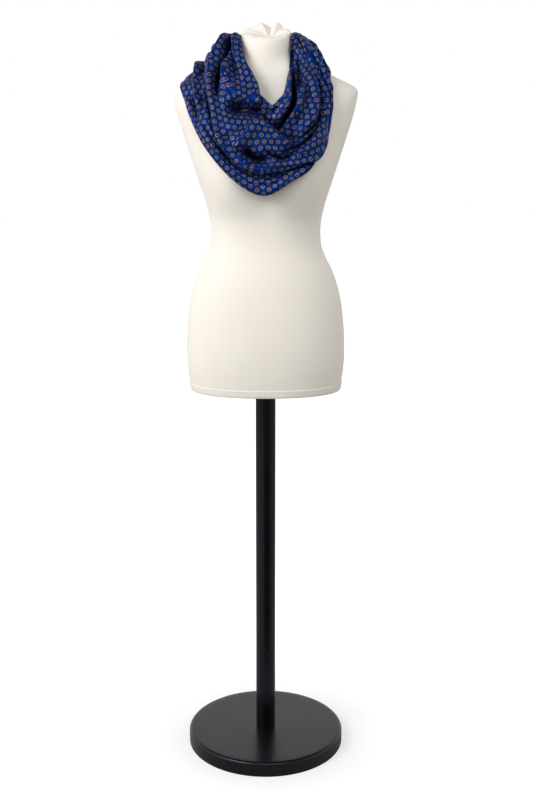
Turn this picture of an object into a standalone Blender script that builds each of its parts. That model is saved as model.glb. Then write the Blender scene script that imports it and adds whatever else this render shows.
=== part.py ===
"""Infinity scarf wound twice round the neck of a limbless dress form on its pole and round base.

The scarf is one printed satin loop. It lies on the form in two turns, so what shows is five
stretches of cloth: the sweep that comes from the left shoulder across the front, the strand that
passes under it from the right shoulder, the low fall of the outer turn, and the two cowls at the
back. Each stretch is a thin wall of its own.

Every wall is worked out on one smooth drape that hangs from the neck over the shoulders. A place
on the drape is an angle round the neck (0 in front, 90 over the right-hand shoulder as seen from
the front) and a share of the way from the neck rim (0) to the outer edge (1). A stretch has its
two edges as shares for each angle, its folds as lines on the drape, and a height off the drape.

Metres, +Z up. The origin is on the floor under the middle of the base.
"""

import bmesh
import bpy
import numpy as np
from mathutils import Vector
from mathutils.bvhtree import BVHTree

MM = 0.001

# Stand
BASE_RADIUS = 0.170
BASE_THICKNESS = 0.032
BASE_TOP_ROUNDING = 0.007
BASE_FOOT_ROUNDING = 0.0015
POLE_RADIUS = 0.021
SOCKET_DEPTH = 0.100
FIT_GAP = 0.0003
BASE_SIDES = 56
POLE_SIDES = 32
ROUNDING_STEPS = 3

# Form
FORM_UNDERSIDE = 0.806
FORM_SIDES = 44
HEM_HEIGHT = 0.016
HEM_THICKNESS = 0.0018
BUST_REACH = 0.030
BUST_HEIGHT = 1.243
BUST_APART = 0.158
BUST_SPREAD = 0.043
GATHERS = 11
GATHER_DEPTH = 0.0012
GATHERS_FROM = 1.506
GATHERS_FADE = 0.012
GATHERS_FULL_RADIUS = 0.030

# Scarf
CLOTH_THICKNESS = 0.0014
FORM_CLEARANCE = 0.0036
FALL_TO_SWEEP = 0.0074
STRAND_TO_SWEEP = 0.0052
SLOPE_BESIDE_EDGE = 1.4
NEAR_ROLL = 0.005
OUTER_ROLL = 0.007
FOLD_TAPER = 0.25
LANE_CROWDING = 0.5
NECK_TO_FOLD = 0.100
FLOOR_REACH = 0.060
EASING = 0.002
SEAM_GAP = 0.0006
BACK_SEAM_ANGLE = 128.0
FALL_FRONT_END = 46.0
FALL_BACK_END = 116.0
STRAND_DEPTH = 0.004
FALL_DEPTH = 0.003

# Form sections, mm: height, half width, front, back, squareness, forward tip of the plane
FORM_SECTIONS = (
    (806.0, 155.0, 104.0, 112.0, 2.25, 0.00),
    (822.5, 158.5, 107.0, 115.0, 2.25, 0.00),
    (860.0, 163.0, 111.0, 121.0, 2.25, 0.00),
    (910.0, 163.5, 112.0, 125.0, 2.25, 0.00),
    (962.0, 159.5, 108.0, 123.0, 2.22, 0.00),
    (1000.0, 153.5, 103.0, 115.0, 2.20, 0.00),
    (1030.0, 145.5, 98.0, 106.0, 2.18, 0.00),
    (1056.0, 135.5, 92.5, 98.5, 2.18, 0.00),
    (1080.0, 123.5, 87.0, 90.5, 2.15, 0.00),
    (1104.0, 114.5, 83.0, 84.5, 2.15, 0.00),
    (1130.0, 112.0, 82.0, 82.5, 2.15, 0.00),
    (1158.0, 113.5, 84.0, 82.5, 2.15, 0.00),
    (1190.0, 120.5, 90.0, 85.5, 2.20, 0.00),
    (1225.0, 131.5, 94.0, 91.0, 2.22, 0.00),
    (1262.0, 143.5, 96.0, 98.0, 2.25, 0.00),
    (1314.0, 160.0, 92.0, 104.0, 2.30, 0.00),
    (1360.0, 174.0, 82.0, 103.0, 2.40, 0.00),
    (1392.0, 181.5, 70.0, 95.0, 2.45, 0.00),
    (1408.0, 183.0, 63.0, 88.0, 2.40, 0.00),
    (1418.0, 176.0, 60.0, 82.0, 2.30, 0.02),
    (1430.0, 152.0, 57.0, 75.0, 2.15, 0.04),
    (1446.0, 118.0, 54.0, 67.0, 2.05, 0.08),
    (1460.0, 87.0, 52.0, 61.0, 2.00, 0.14),
    (1472.0, 65.0, 51.0, 57.0, 2.00, 0.20),
    (1486.0, 53.5, 50.5, 54.0, 2.00, 0.28),
    (1504.0, 51.0, 50.0, 53.0, 2.00, 0.33),
    (1516.0, 49.5, 48.5, 51.5, 2.00, 0.35),
    (1524.5, 44.0, 43.0, 46.0, 2.00, 0.36),
    (1528.0, 34.0, 33.0, 36.0, 2.00, 0.36),
    (1526.5, 21.0, 20.0, 23.0, 2.00, 0.36),
    (1520.5, 8.0, 7.5, 8.5, 2.00, 0.36),
)

# Drape sections, mm: angle, then out and up of four places down the section
DRAPE_SECTIONS = (
    (-180.0, 57.0, 1527.0, 88.0, 1499.0, 116.0, 1432.0, 124.0, 1345.0),
    (-150.0, 57.0, 1527.0, 93.0, 1503.0, 130.0, 1444.0, 143.0, 1362.0),
    (-120.0, 56.0, 1525.0, 98.0, 1507.0, 142.0, 1459.0, 162.0, 1401.0),
    (-90.0, 54.5, 1525.0, 96.0, 1503.0, 135.0, 1463.0, 165.0, 1430.0),
    (-66.0, 55.0, 1516.0, 93.0, 1484.0, 133.0, 1434.0, 165.0, 1374.0),
    (-45.0, 56.0, 1505.0, 95.0, 1459.0, 137.0, 1390.0, 163.0, 1301.0),
    (-22.0, 57.0, 1495.0, 96.0, 1434.0, 137.0, 1345.0, 152.0, 1232.0),
    (0.0, 57.0, 1492.0, 96.0, 1424.0, 134.0, 1330.0, 144.0, 1210.0),
    (20.0, 57.0, 1494.0, 96.0, 1430.0, 137.0, 1342.0, 150.0, 1232.0),
    (40.0, 56.0, 1499.0, 96.0, 1449.0, 143.0, 1376.0, 168.0, 1274.0),
    (60.0, 55.0, 1514.0, 91.0, 1476.0, 130.0, 1425.0, 149.0, 1363.0),
    (75.0, 55.0, 1522.0, 88.0, 1494.0, 117.0, 1457.0, 132.0, 1434.0),
    (90.0, 55.0, 1526.0, 86.0, 1508.0, 109.0, 1481.0, 121.0, 1455.0),
    (120.0, 56.0, 1526.0, 91.0, 1508.0, 120.0, 1468.0, 132.0, 1427.0),
    (150.0, 57.0, 1527.0, 92.0, 1503.0, 126.0, 1444.0, 138.0, 1370.0),
)

# Edges of each turn: angle, share at the edge nearer the neck, share at the outer edge
SWEEP_EDGES = (
    (-180.0, 0.000, 0.680),
    (-120.0, 0.000, 0.520),
    (-95.0, 0.000, 0.430),
    (-83.0, 0.000, 0.440),
    (-74.0, 0.005, 0.575),
    (-63.0, 0.025, 0.665),
    (-51.5, 0.060, 0.710),
    (-44.0, 0.100, 0.765),
    (-38.0, 0.140, 0.850),
    (-27.0, 0.215, 0.890),
    (-13.8, 0.300, 0.895),
    (-7.0, 0.385, 0.895),
    (-3.0, 0.550, 0.892),
    (7.0, 0.635, 0.894),
    (15.0, 0.710, 0.908),
    (23.0, 0.785, 0.925),
    (30.0, 0.775, 0.945),
    (37.0, 0.780, 0.980),
    (43.0, 0.780, 1.000),
    (49.0, 0.710, 1.000),
    (54.0, 0.570, 1.000),
    (60.0, 0.385, 1.000),
    (68.0, 0.240, 1.000),
    (85.0, 0.080, 1.000),
    (105.0, 0.000, 0.980),
    (150.0, 0.000, 0.740),
)
FALL_EDGES = (
    (-180.0, 0.580, 1.000),
    (-120.0, 0.430, 1.000),
    (-95.0, 0.340, 1.000),
    (-83.0, 0.350, 1.000),
    (-63.0, 0.570, 1.000),
    (-44.0, 0.680, 1.000),
    (-30.0, 0.790, 1.000),
    (0.0, 0.800, 1.000),
    (18.0, 0.820, 1.000),
    (30.0, 0.850, 1.000),
    (46.0, 0.850, 0.950),
    (116.0, 0.780, 0.880),
    (126.0, 0.740, 0.960),
    (136.0, 0.690, 1.000),
    (150.0, 0.640, 1.000),
)
STRAND_EDGES = (
    (-24.0, 0.400, 0.590),
    (-6.0, 0.437, 0.640),
    (0.5, 0.468, 0.680),
    (6.8, 0.505, 0.720),
    (13.0, 0.470, 0.770),
    (20.0, 0.425, 0.820),
    (26.5, 0.330, 0.820),
    (36.5, 0.240, 0.820),
    (45.0, 0.160, 0.815),
    (52.0, 0.110, 0.740),
    (58.0, 0.078, 0.540),
    (68.0, 0.020, 0.340),
    (85.0, 0.000, 0.200),
    (105.0, 0.000, 0.140),
)

# Angles that the cross lines of the sweep join: at its outer edge, at its edge nearer the neck
SWEEP_SKEW = (
    (-128.0, -128.0),
    (-70.0, -66.0),
    (-45.0, -30.0),
    (-30.0, -12.0),
    (-20.0, -6.0),
    (-10.0, -3.6),
    (0.0, 0.0),
    (14.0, 13.0),
    (28.0, 24.0),
    (50.0, 46.0),
    (70.0, 62.0),
    (90.0, 84.0),
    (128.0, 128.0),
)

# Folds: angle and share of four places along each, then its depth (a ridge is positive), its
# width on the neck side and its width on the outer side, mm
SWEEP_FOLDS = (
    (-101.0, 0.05, -66.0, 0.28, -56.0, 0.45, -46.0, 0.66, -11.0, 9.0, 8.0),
    (-100.0, 0.20, -75.0, 0.40, -54.0, 0.60, -30.0, 0.85, 5.0, 9.0, 9.0),
    (-75.0, 0.12, -56.0, 0.23, -40.0, 0.33, -28.0, 0.43, -5.0, 9.0, 9.0),
    (-44.0, 0.74, -28.0, 0.60, -15.0, 0.53, -3.0, 0.52, -12.0, 9.0, 12.0),
    (-7.0, 0.55, -11.0, 0.63, -18.0, 0.74, -23.0, 0.84, 6.0, 9.0, 9.0),
    (-21.0, 0.79, -12.0, 0.80, 2.0, 0.77, 20.0, 0.82, -9.0, 9.0, 8.0),
    (14.0, 0.84, 25.0, 0.83, 34.0, 0.81, 43.0, 0.80, -7.0, 7.0, 7.0),
    (54.0, 0.90, 61.0, 0.74, 66.0, 0.56, 80.0, 0.36, -8.0, 8.0, 8.0),
    (60.0, 0.60, 66.0, 0.44, 76.0, 0.28, 100.0, 0.20, 5.0, 8.0, 8.0),
    (100.0, 0.30, 135.0, 0.26, 165.0, 0.27, 190.0, 0.28, -7.0, 11.0, 11.0),
    (90.0, 0.62, 130.0, 0.50, 165.0, 0.50, 215.0, 0.42, -6.0, 11.0, 11.0),
    (185.0, 0.26, 210.0, 0.22, 235.0, 0.18, 262.0, 0.08, -7.0, 11.0, 11.0),
)
STRAND_FOLDS = (
    (6.0, 0.64, 21.0, 0.57, 33.0, 0.43, 56.0, 0.24, -9.0, 7.0, 7.0),
    (6.0, 0.56, 20.0, 0.48, 28.0, 0.36, 45.0, 0.22, -4.0, 5.0, 5.0),
    (20.0, 0.72, 31.0, 0.62, 42.0, 0.50, 50.0, 0.36, 7.0, 11.0, 11.0),
)
FALL_FOLDS = (
    (-112.0, 0.62, -83.0, 0.67, -70.0, 0.76, -52.0, 0.84, -8.0, 7.0, 7.0),
    (-104.0, 0.80, -76.0, 0.86, -58.0, 0.92, -44.0, 0.95, -5.0, 7.0, 7.0),
    (-60.0, 0.90, -42.0, 0.92, -28.0, 0.94, -12.0, 0.94, 4.0, 8.0, 8.0),
    (125.0, 0.92, 150.0, 0.88, 180.0, 0.89, 215.0, 0.86, -6.0, 9.0, 9.0),
    (205.0, 0.75, 225.0, 0.73, 240.0, 0.68, 262.0, 0.62, -6.0, 9.0, 9.0),
)


def clear_scene():
    """Remove every object that the file opened with."""
    for thing in list(bpy.data.objects):
        bpy.data.objects.remove(thing, do_unlink=True)


def finish(name, colour, roughness, metallic=0.0):
    """Return a Principled material with the finish's colour, roughness and metallic value."""
    material = bpy.data.materials.new(name)
    material.use_nodes = True
    shader = material.node_tree.nodes["Principled BSDF"]
    shader.inputs["Base Color"].default_value = (*colour, 1.0)
    shader.inputs["Roughness"].default_value = roughness
    shader.inputs["Metallic"].default_value = metallic
    return material


def add_object(name, points, faces, material, sharp_angle=40.0, closed=True):
    """Make a named object from points and faces, the faces of a closed one turned outwards."""
    mesh = bpy.data.meshes.new(name)
    mesh.from_pydata([tuple(point) for point in points], [], faces)
    if closed:
        shape = bmesh.new()
        shape.from_mesh(mesh)
        bmesh.ops.recalc_face_normals(shape, faces=shape.faces)
        shape.to_mesh(mesh)
        shape.free()
    mesh.shade_smooth()
    mesh.set_sharp_from_angle(angle=np.radians(sharp_angle))
    mesh.materials.append(material)
    thing = bpy.data.objects.new(name, mesh)
    bpy.context.scene.collection.objects.link(thing)
    return thing


def loft(rings, closed=False):
    """Return points and faces that join rings of equal length, capped unless closed on itself."""
    count = len(rings[0])
    points = [point for ring in rings for point in ring]
    faces = []
    last = len(rings) if closed else len(rings) - 1
    for level in range(last):
        here, there = level * count, (level + 1) % len(rings) * count
        for side in range(count):
            ahead = (side + 1) % count
            faces.append((here + side, here + ahead, there + ahead, there + side))
    if not closed:
        faces.append(tuple(reversed(range(count))))
        faces.append(tuple(range((len(rings) - 1) * count, len(rings) * count)))
    return points, faces


def circle(radius, height, sides):
    """Return the points of a level circle round the stand's axis."""
    turn = np.linspace(0.0, 2.0 * np.pi, sides, endpoint=False)
    return [(radius * np.cos(a), radius * np.sin(a), height) for a in turn]


def smooth_rows(keys, rows, at, period=None):
    """Read the rows of a table at any key, along a smooth curve through them."""
    keys = np.asarray(keys, float)
    rows = np.asarray(rows, float)
    at = np.asarray(at, float)
    if period:
        at = (at - keys[0]) % period + keys[0]
        keys = np.concatenate([[keys[-1] - period], keys, keys[:2] + period])
        rows = np.concatenate([rows[-1:], rows, rows[:2]])
    slopes = np.gradient(rows, keys, axis=0)
    place = np.clip(np.searchsorted(keys, at, side="right") - 1, 0, len(keys) - 2)
    span = keys[place + 1] - keys[place]
    t = np.clip((at - keys[place]) / span, 0.0, 1.0)[..., None]
    span = span[..., None]
    return (
        (2 * t**3 - 3 * t**2 + 1) * rows[place]
        + (t**3 - 2 * t**2 + t) * span * slopes[place]
        + (3 * t**2 - 2 * t**3) * rows[place + 1]
        + (t**3 - t**2) * span * slopes[place + 1]
    )


# ---- stand


def build_base(material):
    """Build the round base, its top edge rounded."""
    rings = []
    for step in range(ROUNDING_STEPS + 1):
        turn = np.pi / 2 * step / ROUNDING_STEPS
        inward = BASE_FOOT_ROUNDING * (1 - np.sin(turn))
        up = BASE_FOOT_ROUNDING * (1 - np.cos(turn))
        rings.append(circle(BASE_RADIUS - inward, up, BASE_SIDES))
    for step in range(ROUNDING_STEPS + 1):
        turn = np.pi / 2 * step / ROUNDING_STEPS
        inward = BASE_TOP_ROUNDING * (1 - np.cos(turn))
        up = BASE_THICKNESS - BASE_TOP_ROUNDING * (1 - np.sin(turn))
        rings.append(circle(BASE_RADIUS - inward, up, BASE_SIDES))
    points, faces = loft(rings)
    return add_object("base_disc", points, faces, material, sharp_angle=30.0)


def build_pole(material):
    """Build the pole, from the base's top face to the head of the form's socket."""
    foot = BASE_THICKNESS + FIT_GAP
    head = FORM_UNDERSIDE + SOCKET_DEPTH - FIT_GAP
    rings = [circle(POLE_RADIUS, foot, POLE_SIDES), circle(POLE_RADIUS, head, POLE_SIDES)]
    points, faces = loft(rings)
    return add_object("pole", points, faces, material, sharp_angle=30.0)


# ---- form


def form_ring(section, inset=0.0):
    """Return one section of the form as points, in metres, drawn in by an inset."""
    height, half_width, front, back, squareness, tip = section
    turn = np.linspace(0.0, 2.0 * np.pi, FORM_SIDES, endpoint=False)
    cosine, sine = np.cos(turn), np.sin(turn)
    depth = np.where(sine < 0, front, back) * MM - inset
    x = (half_width * MM - inset) * np.sign(cosine) * np.abs(cosine) ** (2 / squareness)
    y = depth * np.sign(sine) * np.abs(sine) ** (2 / squareness)
    z = height * MM + tip * y
    from_apex = (np.abs(x) - BUST_APART / 2) ** 2 + (z - BUST_HEIGHT) ** 2
    facing = np.clip(-y / (front * MM), 0.0, 1.0)
    y = y - BUST_REACH * facing * np.exp(-from_apex / (2 * BUST_SPREAD**2))
    gathered = np.clip((height * MM - GATHERS_FROM) / GATHERS_FADE, 0.0, 1.0)
    gathered = gathered * min(half_width * MM / GATHERS_FULL_RADIUS, 1.0)
    z = z + GATHER_DEPTH * gathered * np.sin(GATHERS * turn)
    return np.stack([x, y, z], axis=-1)


def form_rings():
    """Return the form's rings from its underside to the gathers in the middle of its cap."""
    return [form_ring(section) for section in FORM_SECTIONS]


def build_form(material):
    """Build the padded form with the blind socket for its pole in the underside."""
    points, faces = loft(form_rings())
    form = add_object("form_torso", points, faces, material, sharp_angle=50.0)
    depth = SOCKET_DEPTH * 2
    bore = POLE_RADIUS + FIT_GAP
    rings = [circle(bore, FORM_UNDERSIDE + at, POLE_SIDES) for at in (-depth / 2, depth / 2)]
    points, faces = loft(rings)
    cutter = add_object("socket_cutter", points, faces, material)
    cutter.hide_render = True
    cutter.display_type = "WIRE"
    socket = form.modifiers.new("socket", "BOOLEAN")
    socket.operation = "DIFFERENCE"
    socket.solver = "EXACT"
    socket.object = cutter
    return form


def build_hem(material):
    """Build the turned hem of the form's cover, a band round the bottom edge."""
    table = np.asarray(FORM_SECTIONS)
    heights = [FORM_UNDERSIDE, FORM_UNDERSIDE + HEM_HEIGHT / 2, FORM_UNDERSIDE + HEM_HEIGHT]
    shapes = smooth_rows(table[:, 0] * MM, table, heights)
    inner = [form_ring(row, -FIT_GAP * 2) for row in shapes]
    outer = [form_ring(row, -HEM_THICKNESS) for row in shapes]
    points, faces = loft(inner + outer[::-1], closed=True)
    return add_object("form_hem_band", points, faces, material)


# ---- drape


def drape_points(angles, shares):
    """Return the drape's points, in metres, for arrays of angles and shares."""
    table = np.asarray(DRAPE_SECTIONS)
    rows = smooth_rows(table[:, 0], table[:, 1:], angles, period=360.0) * MM
    stops = np.arange(4) / 3.0
    out = np.zeros(np.shape(shares))
    up = np.zeros(np.shape(shares))
    for own in range(4):
        weight = np.ones(np.shape(shares))
        for other in range(4):
            if other != own:
                weight = weight * (shares - stops[other]) / (stops[own] - stops[other])
        out = out + weight * rows[..., 2 * own]
        up = up + weight * rows[..., 2 * own + 1]
    turn = np.radians(angles)
    return np.stack([out * np.sin(turn), -out * np.cos(turn), up], axis=-1)


def drape_frame(angles, shares):
    """Return the drape's unit normals, away from the form, and its metres for each unit share."""
    step = 0.002
    along = drape_points(angles + 1.0, shares) - drape_points(angles - 1.0, shares)
    down = drape_points(angles, shares + step) - drape_points(angles, shares - step)
    normals = np.cross(down, along)
    normals = normals / np.linalg.norm(normals, axis=-1, keepdims=True)
    return normals, np.linalg.norm(down, axis=-1) / (2 * step)


def edges_at(edges, angles):
    """Return the shares of a turn's two edges at each angle."""
    table = np.asarray(edges)
    period = 360.0 if table[0, 0] == -180.0 else None
    shares = smooth_rows(table[:, 0], table[:, 1:], angles, period)
    return np.clip(shares[..., 0], 0.0, 1.0), np.clip(shares[..., 1], 0.0, 1.0)


def fold_line(fold, samples=91):
    """Return points along one fold, evenly from its first place to its last."""
    places = np.asarray(fold[:8]).reshape(4, 2)
    rows = smooth_rows(np.arange(4), places, np.linspace(0.0, 3.0, samples))
    return drape_points(rows[:, 0], rows[:, 1])


def fold_height(folds, angles, shares):
    """Return the height that the folds add, in metres, at each angle and share."""
    points = drape_points(angles, shares)
    normals, _ = drape_frame(angles, shares)
    total = np.zeros(np.shape(shares))
    for fold in folds:
        line = fold_line(fold)
        depth, near_width, far_width = (value * MM for value in fold[8:])
        away = np.linalg.norm(points[..., None, :] - line, axis=-1)
        nearest = away.argmin(axis=-1)
        along = np.gradient(line, axis=0)[nearest]
        side = (np.cross(along, normals) * (points - line[nearest])).sum(axis=-1)
        width = np.where(side > 0, far_width, near_width)
        share = nearest / (len(line) - 1)
        taper = np.clip(np.minimum(share, 1 - share) / FOLD_TAPER, 0.0, 1.0)
        taper = taper**2 * (3 - 2 * taper)
        total += depth * taper * np.exp(-((away.min(axis=-1) / width) ** 2))
    return total


def edge_line(edges, side, samples=901):
    """Return points along one edge of a turn."""
    angles = np.linspace(edges[0][0], edges[0][0] + 360.0, samples)
    if edges[0][0] != -180.0:
        angles = np.linspace(edges[0][0], edges[-1][0], samples)
    return drape_points(angles, edges_at(edges, angles)[side])


def nearest_distance(points, line):
    """Return each point's distance to the nearest point of a line."""
    flat = points.reshape(-1, 3)
    away = np.linalg.norm(flat[:, None, :] - line, axis=-1).min(axis=-1)
    return away.reshape(points.shape[:-1])


def eased_max(first, second):
    """Return the greater of two heights, eased over where they cross, and never below either."""
    return (first + second + np.sqrt((first - second) ** 2 + EASING**2)) / 2


def eased_min(first, second):
    """Return the lesser of two heights, eased over where they cross, and never above either."""
    return (first + second - np.sqrt((first - second) ** 2 + EASING**2)) / 2


def rolled(distance, radius):
    """Return how far a rolled edge drops at a distance from it."""
    inside = np.clip(1.0 - distance / radius, 0.0, 1.0)
    return radius * (1.0 - np.sqrt(1.0 - inside**2))


def wished_height(turn, angles, shares):
    """Return the height that a turn would have with nothing above or below it."""
    points = drape_points(angles, shares)
    near, far = (edge_line(turn["edges"], side) for side in (0, 1))
    height = fold_height(turn["folds"], angles, shares) - turn["depth"]
    height = height - rolled(nearest_distance(points, near), NEAR_ROLL)
    return height - rolled(nearest_distance(points, far), OUTER_ROLL)


def beside(turn, angles, shares):
    """Return the nearest share inside a turn, and the distance to it in metres."""
    near, far = edges_at(turn["edges"], angles)
    inside = np.clip(shares, near, far)
    _, scale = drape_frame(angles, shares)
    distance = np.abs(shares - inside) * scale
    first, last = turn["span"]
    turned = (angles - first) % 360.0
    past = np.where(turned > last - first, np.minimum(turned - last + first, 360.0 - turned), 0.0)
    return inside, distance + np.radians(past) * NECK_TO_FOLD


def form_floor(tree, angles, shares):
    """Return the lowest height at which cloth is clear of the form."""
    points = drape_points(angles, shares)
    normals, _ = drape_frame(angles, shares)
    floor = np.full(np.shape(shares), -FLOOR_REACH)
    for place in np.ndindex(floor.shape):
        start = Vector(points[place] + FLOOR_REACH * normals[place])
        hit = tree.ray_cast(start, Vector(-normals[place]), 2 * FLOOR_REACH)[3]
        if hit is not None:
            floor[place] = FLOOR_REACH - hit + FORM_CLEARANCE + CLOTH_THICKNESS
    return floor


def lower_height(turn, tree, angles, shares):
    """Return the settled height of the strand or the fall, under the sweep and off the form."""
    inside, distance = beside(SWEEP, angles, shares)
    ceiling = wished_height(SWEEP, angles, inside) - turn["gap"] + SLOPE_BESIDE_EDGE * distance
    height = eased_min(wished_height(turn, angles, shares), ceiling)
    return eased_max(height, form_floor(tree, angles, shares))


def sweep_height(turn, tree, angles, shares):
    """Return the settled height of the sweep, clear of the form and of both layers under it."""
    height = eased_max(wished_height(turn, angles, shares), form_floor(tree, angles, shares))
    for lower in (STRAND, FALL):
        inside, distance = beside(lower, angles, shares)
        support = lower_height(lower, tree, angles, inside) + lower["gap"]
        height = eased_max(height, support - SLOPE_BESIDE_EDGE * distance)
    return height


SWEEP = {
    "edges": SWEEP_EDGES,
    "folds": SWEEP_FOLDS,
    "depth": 0.0,
    "span": (-180.0, 180.0),
    "settle": sweep_height,
}
STRAND = {
    "edges": STRAND_EDGES,
    "folds": STRAND_FOLDS,
    "depth": STRAND_DEPTH,
    "gap": STRAND_TO_SWEEP,
    "span": (STRAND_EDGES[0][0], STRAND_EDGES[-1][0]),
    "settle": lower_height,
}
FALL = {
    "edges": FALL_EDGES,
    "folds": FALL_FOLDS,
    "depth": FALL_DEPTH,
    "gap": FALL_TO_SWEEP,
    "span": (FALL_BACK_END, FALL_FRONT_END + 360.0),
    "settle": lower_height,
}


def build_stretch(name, turn, tree, first, last, stations, lanes, material):
    """Build one stretch of cloth between two angles as a thin closed wall."""
    outer = np.linspace(first, last, stations)
    inner = outer
    if turn is SWEEP and first < 0.0:
        skew = np.asarray(SWEEP_SKEW)
        inner = smooth_rows(skew[:, 0], skew[:, 1:], outer)[:, 0]
    lane = np.linspace(0.0, 1.0, lanes)
    lane = (1 - LANE_CROWDING) * lane + LANE_CROWDING * (1 - np.cos(np.pi * lane)) / 2
    near, far = edges_at(turn["edges"], inner)[0], edges_at(turn["edges"], outer)[1]
    angles = inner[:, None] * (1 - lane) + outer[:, None] * lane
    shares = near[:, None] * (1 - lane) + far[:, None] * lane
    normals, _ = drape_frame(angles, shares)
    height = turn["settle"](turn, tree, angles, shares)
    points = drape_points(angles, shares) + height[..., None] * normals
    faces = []
    for station in range(stations - 1):
        for row in range(lanes - 1):
            here = station * lanes + row
            faces.append((here, here + 1, here + lanes + 1, here + lanes))
    cloth = add_object(name, points.reshape(-1, 3), faces, material, closed=False)
    wall = cloth.modifiers.new("cloth wall", "SOLIDIFY")
    wall.thickness = CLOTH_THICKNESS
    wall.offset = -1.0
    return cloth


def main():
    """Build the stand, the form and the five stretches of the scarf."""
    clear_scene()
    black_paint = finish("black satin paint", (0.012, 0.012, 0.013), 0.38)
    jersey = finish("warm white jersey", (0.80, 0.78, 0.74), 0.85)
    satin = finish("royal blue printed satin", (0.02, 0.06, 0.33), 0.42)
    build_base(black_paint)
    build_pole(black_paint)
    build_form(jersey)
    build_hem(jersey)
    points, faces = loft(form_rings())
    tree = BVHTree.FromPolygons([Vector(point) for point in points], faces)
    front = BACK_SEAM_ANGLE
    back = front + np.degrees(SEAM_GAP / NECK_TO_FOLD)
    first, last = STRAND_EDGES[0][0], STRAND_EDGES[-1][0]
    build_stretch("scarf_front_sweep", SWEEP, tree, -front, front, 66, 22, satin)
    build_stretch("scarf_back_upper_cowl", SWEEP, tree, back, 360.0 - back, 22, 14, satin)
    build_stretch("scarf_front_fall", FALL, tree, -front, FALL_FRONT_END, 42, 9, satin)
    build_stretch("scarf_back_lower_cowl", FALL, tree, FALL_BACK_END, 360.0 - back, 28, 9, satin)
    build_stretch("scarf_under_strand", STRAND, tree, first, last, 34, 11, satin)


if __name__ == "__main__":
    main()
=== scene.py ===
"""The looks of an infinity scarf wound twice round the neck of a limbless dress form on its stand.

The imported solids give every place. The scarf's five stretches become two continuous turns and one
strand of thin printed satin, worked out on the same smooth drape as the solids and given the finer
folds, hems and stitches. The form gets its jersey cover with the gathered cap, and the stand its
turned base and round pole.

Metres, +Z up, the front faces -Y. A place on the drape is an angle round the neck (0 in front, 90
over the right-hand shoulder as seen from the front) and a share of the way from the neck rim to
the outer edge.
"""

import logging
import math
from collections.abc import Sequence
from dataclasses import dataclass, field
from enum import Enum

import bmesh
import bpy
import numpy as np
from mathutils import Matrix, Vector
from mathutils.bvhtree import BVHTree


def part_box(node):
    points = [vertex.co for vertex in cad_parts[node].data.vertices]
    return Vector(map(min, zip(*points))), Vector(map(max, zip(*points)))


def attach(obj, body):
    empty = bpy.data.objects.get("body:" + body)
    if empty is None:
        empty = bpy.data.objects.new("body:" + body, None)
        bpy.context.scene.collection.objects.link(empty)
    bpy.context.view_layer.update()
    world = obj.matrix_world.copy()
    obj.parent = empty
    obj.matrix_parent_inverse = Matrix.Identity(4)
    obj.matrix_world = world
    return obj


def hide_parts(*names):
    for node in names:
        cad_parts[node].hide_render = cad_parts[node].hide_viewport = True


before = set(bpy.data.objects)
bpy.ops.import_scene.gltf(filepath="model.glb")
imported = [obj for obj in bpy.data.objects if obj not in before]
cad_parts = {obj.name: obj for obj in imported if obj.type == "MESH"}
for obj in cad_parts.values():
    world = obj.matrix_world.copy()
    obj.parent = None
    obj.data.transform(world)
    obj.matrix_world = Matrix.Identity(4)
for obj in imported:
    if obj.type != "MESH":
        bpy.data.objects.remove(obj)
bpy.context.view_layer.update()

LOG = logging.getLogger("scarf")
MM = 0.001
Array = np.ndarray
Material = bpy.types.Material
Node = bpy.types.Node
Object = bpy.types.Object
Socket = bpy.types.NodeSocket
Tree = bpy.types.NodeTree


# ---------------------------------------------------------------- small helpers


def linear(code: str) -> tuple[float, float, float, float]:
    """Turn an sRGB hex colour into the linear colour that shaders take.

    Args:
        code: the colour as RRGGBB.

    Returns:
        Linear red, green, blue and an alpha of 1.
    """
    channels = (int(code[at : at + 2], 16) / 255 for at in (0, 2, 4))
    toned = (c / 12.92 if c <= 0.04045 else ((c + 0.055) / 1.055) ** 2.4 for c in channels)
    return (*toned, 1.0)


def add_node(tree: Tree, kind: str, inputs: dict | None = None, **settings) -> Node:
    """Add a node with its settings, its input values and its links.

    Args:
        tree: the node tree that gets the node.
        kind: the node's type name.
        inputs: a value, or the socket to link from, for each input by name or number.
        settings: the node's own properties.

    Returns:
        The new node.
    """
    node = tree.nodes.new(kind)
    for name, value in settings.items():
        setattr(node, name, value)
    for name, value in (inputs or {}).items():
        if isinstance(value, Socket):
            tree.links.new(value, node.inputs[name])
        else:
            node.inputs[name].default_value = value
    return node


def math_node(tree: Tree, operation: str, first: float | Socket, second: float | Socket) -> Socket:
    """Return what a Math node makes of two numbers or sockets."""
    return add_node(tree, "ShaderNodeMath", {0: first, 1: second}, operation=operation).outputs[0]


def vector_node(tree: Tree, operation: str, *inputs: Socket | tuple) -> Socket:
    """Return what a Vector Math node makes of its inputs."""
    return add_node(tree, "ShaderNodeVectorMath", dict(enumerate(inputs)), operation=operation).outputs[0]


def noise(tree: Tree, place: Socket, scale: float, detail: float) -> Socket:
    """Return the grey of a noise texture."""
    return add_node(tree, "ShaderNodeTexNoise", {"Vector": place, "Scale": scale, "Detail": detail}).outputs[0]


def mix(tree: Tree, share: Socket, *ends: str | tuple | Socket) -> Socket:
    """Mix two colours.

    Args:
        tree: the node tree.
        share: how much of the second colour is in the mix.
        ends: the two colours, each a hex code, a linear colour or a socket.

    Returns:
        The mixed colour's socket.
    """
    first, second = (linear(end) if isinstance(end, str) else end for end in ends)
    return add_node(tree, "ShaderNodeMix", {"Factor": share, 6: first, 7: second}, data_type="RGBA").outputs[2]


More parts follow.
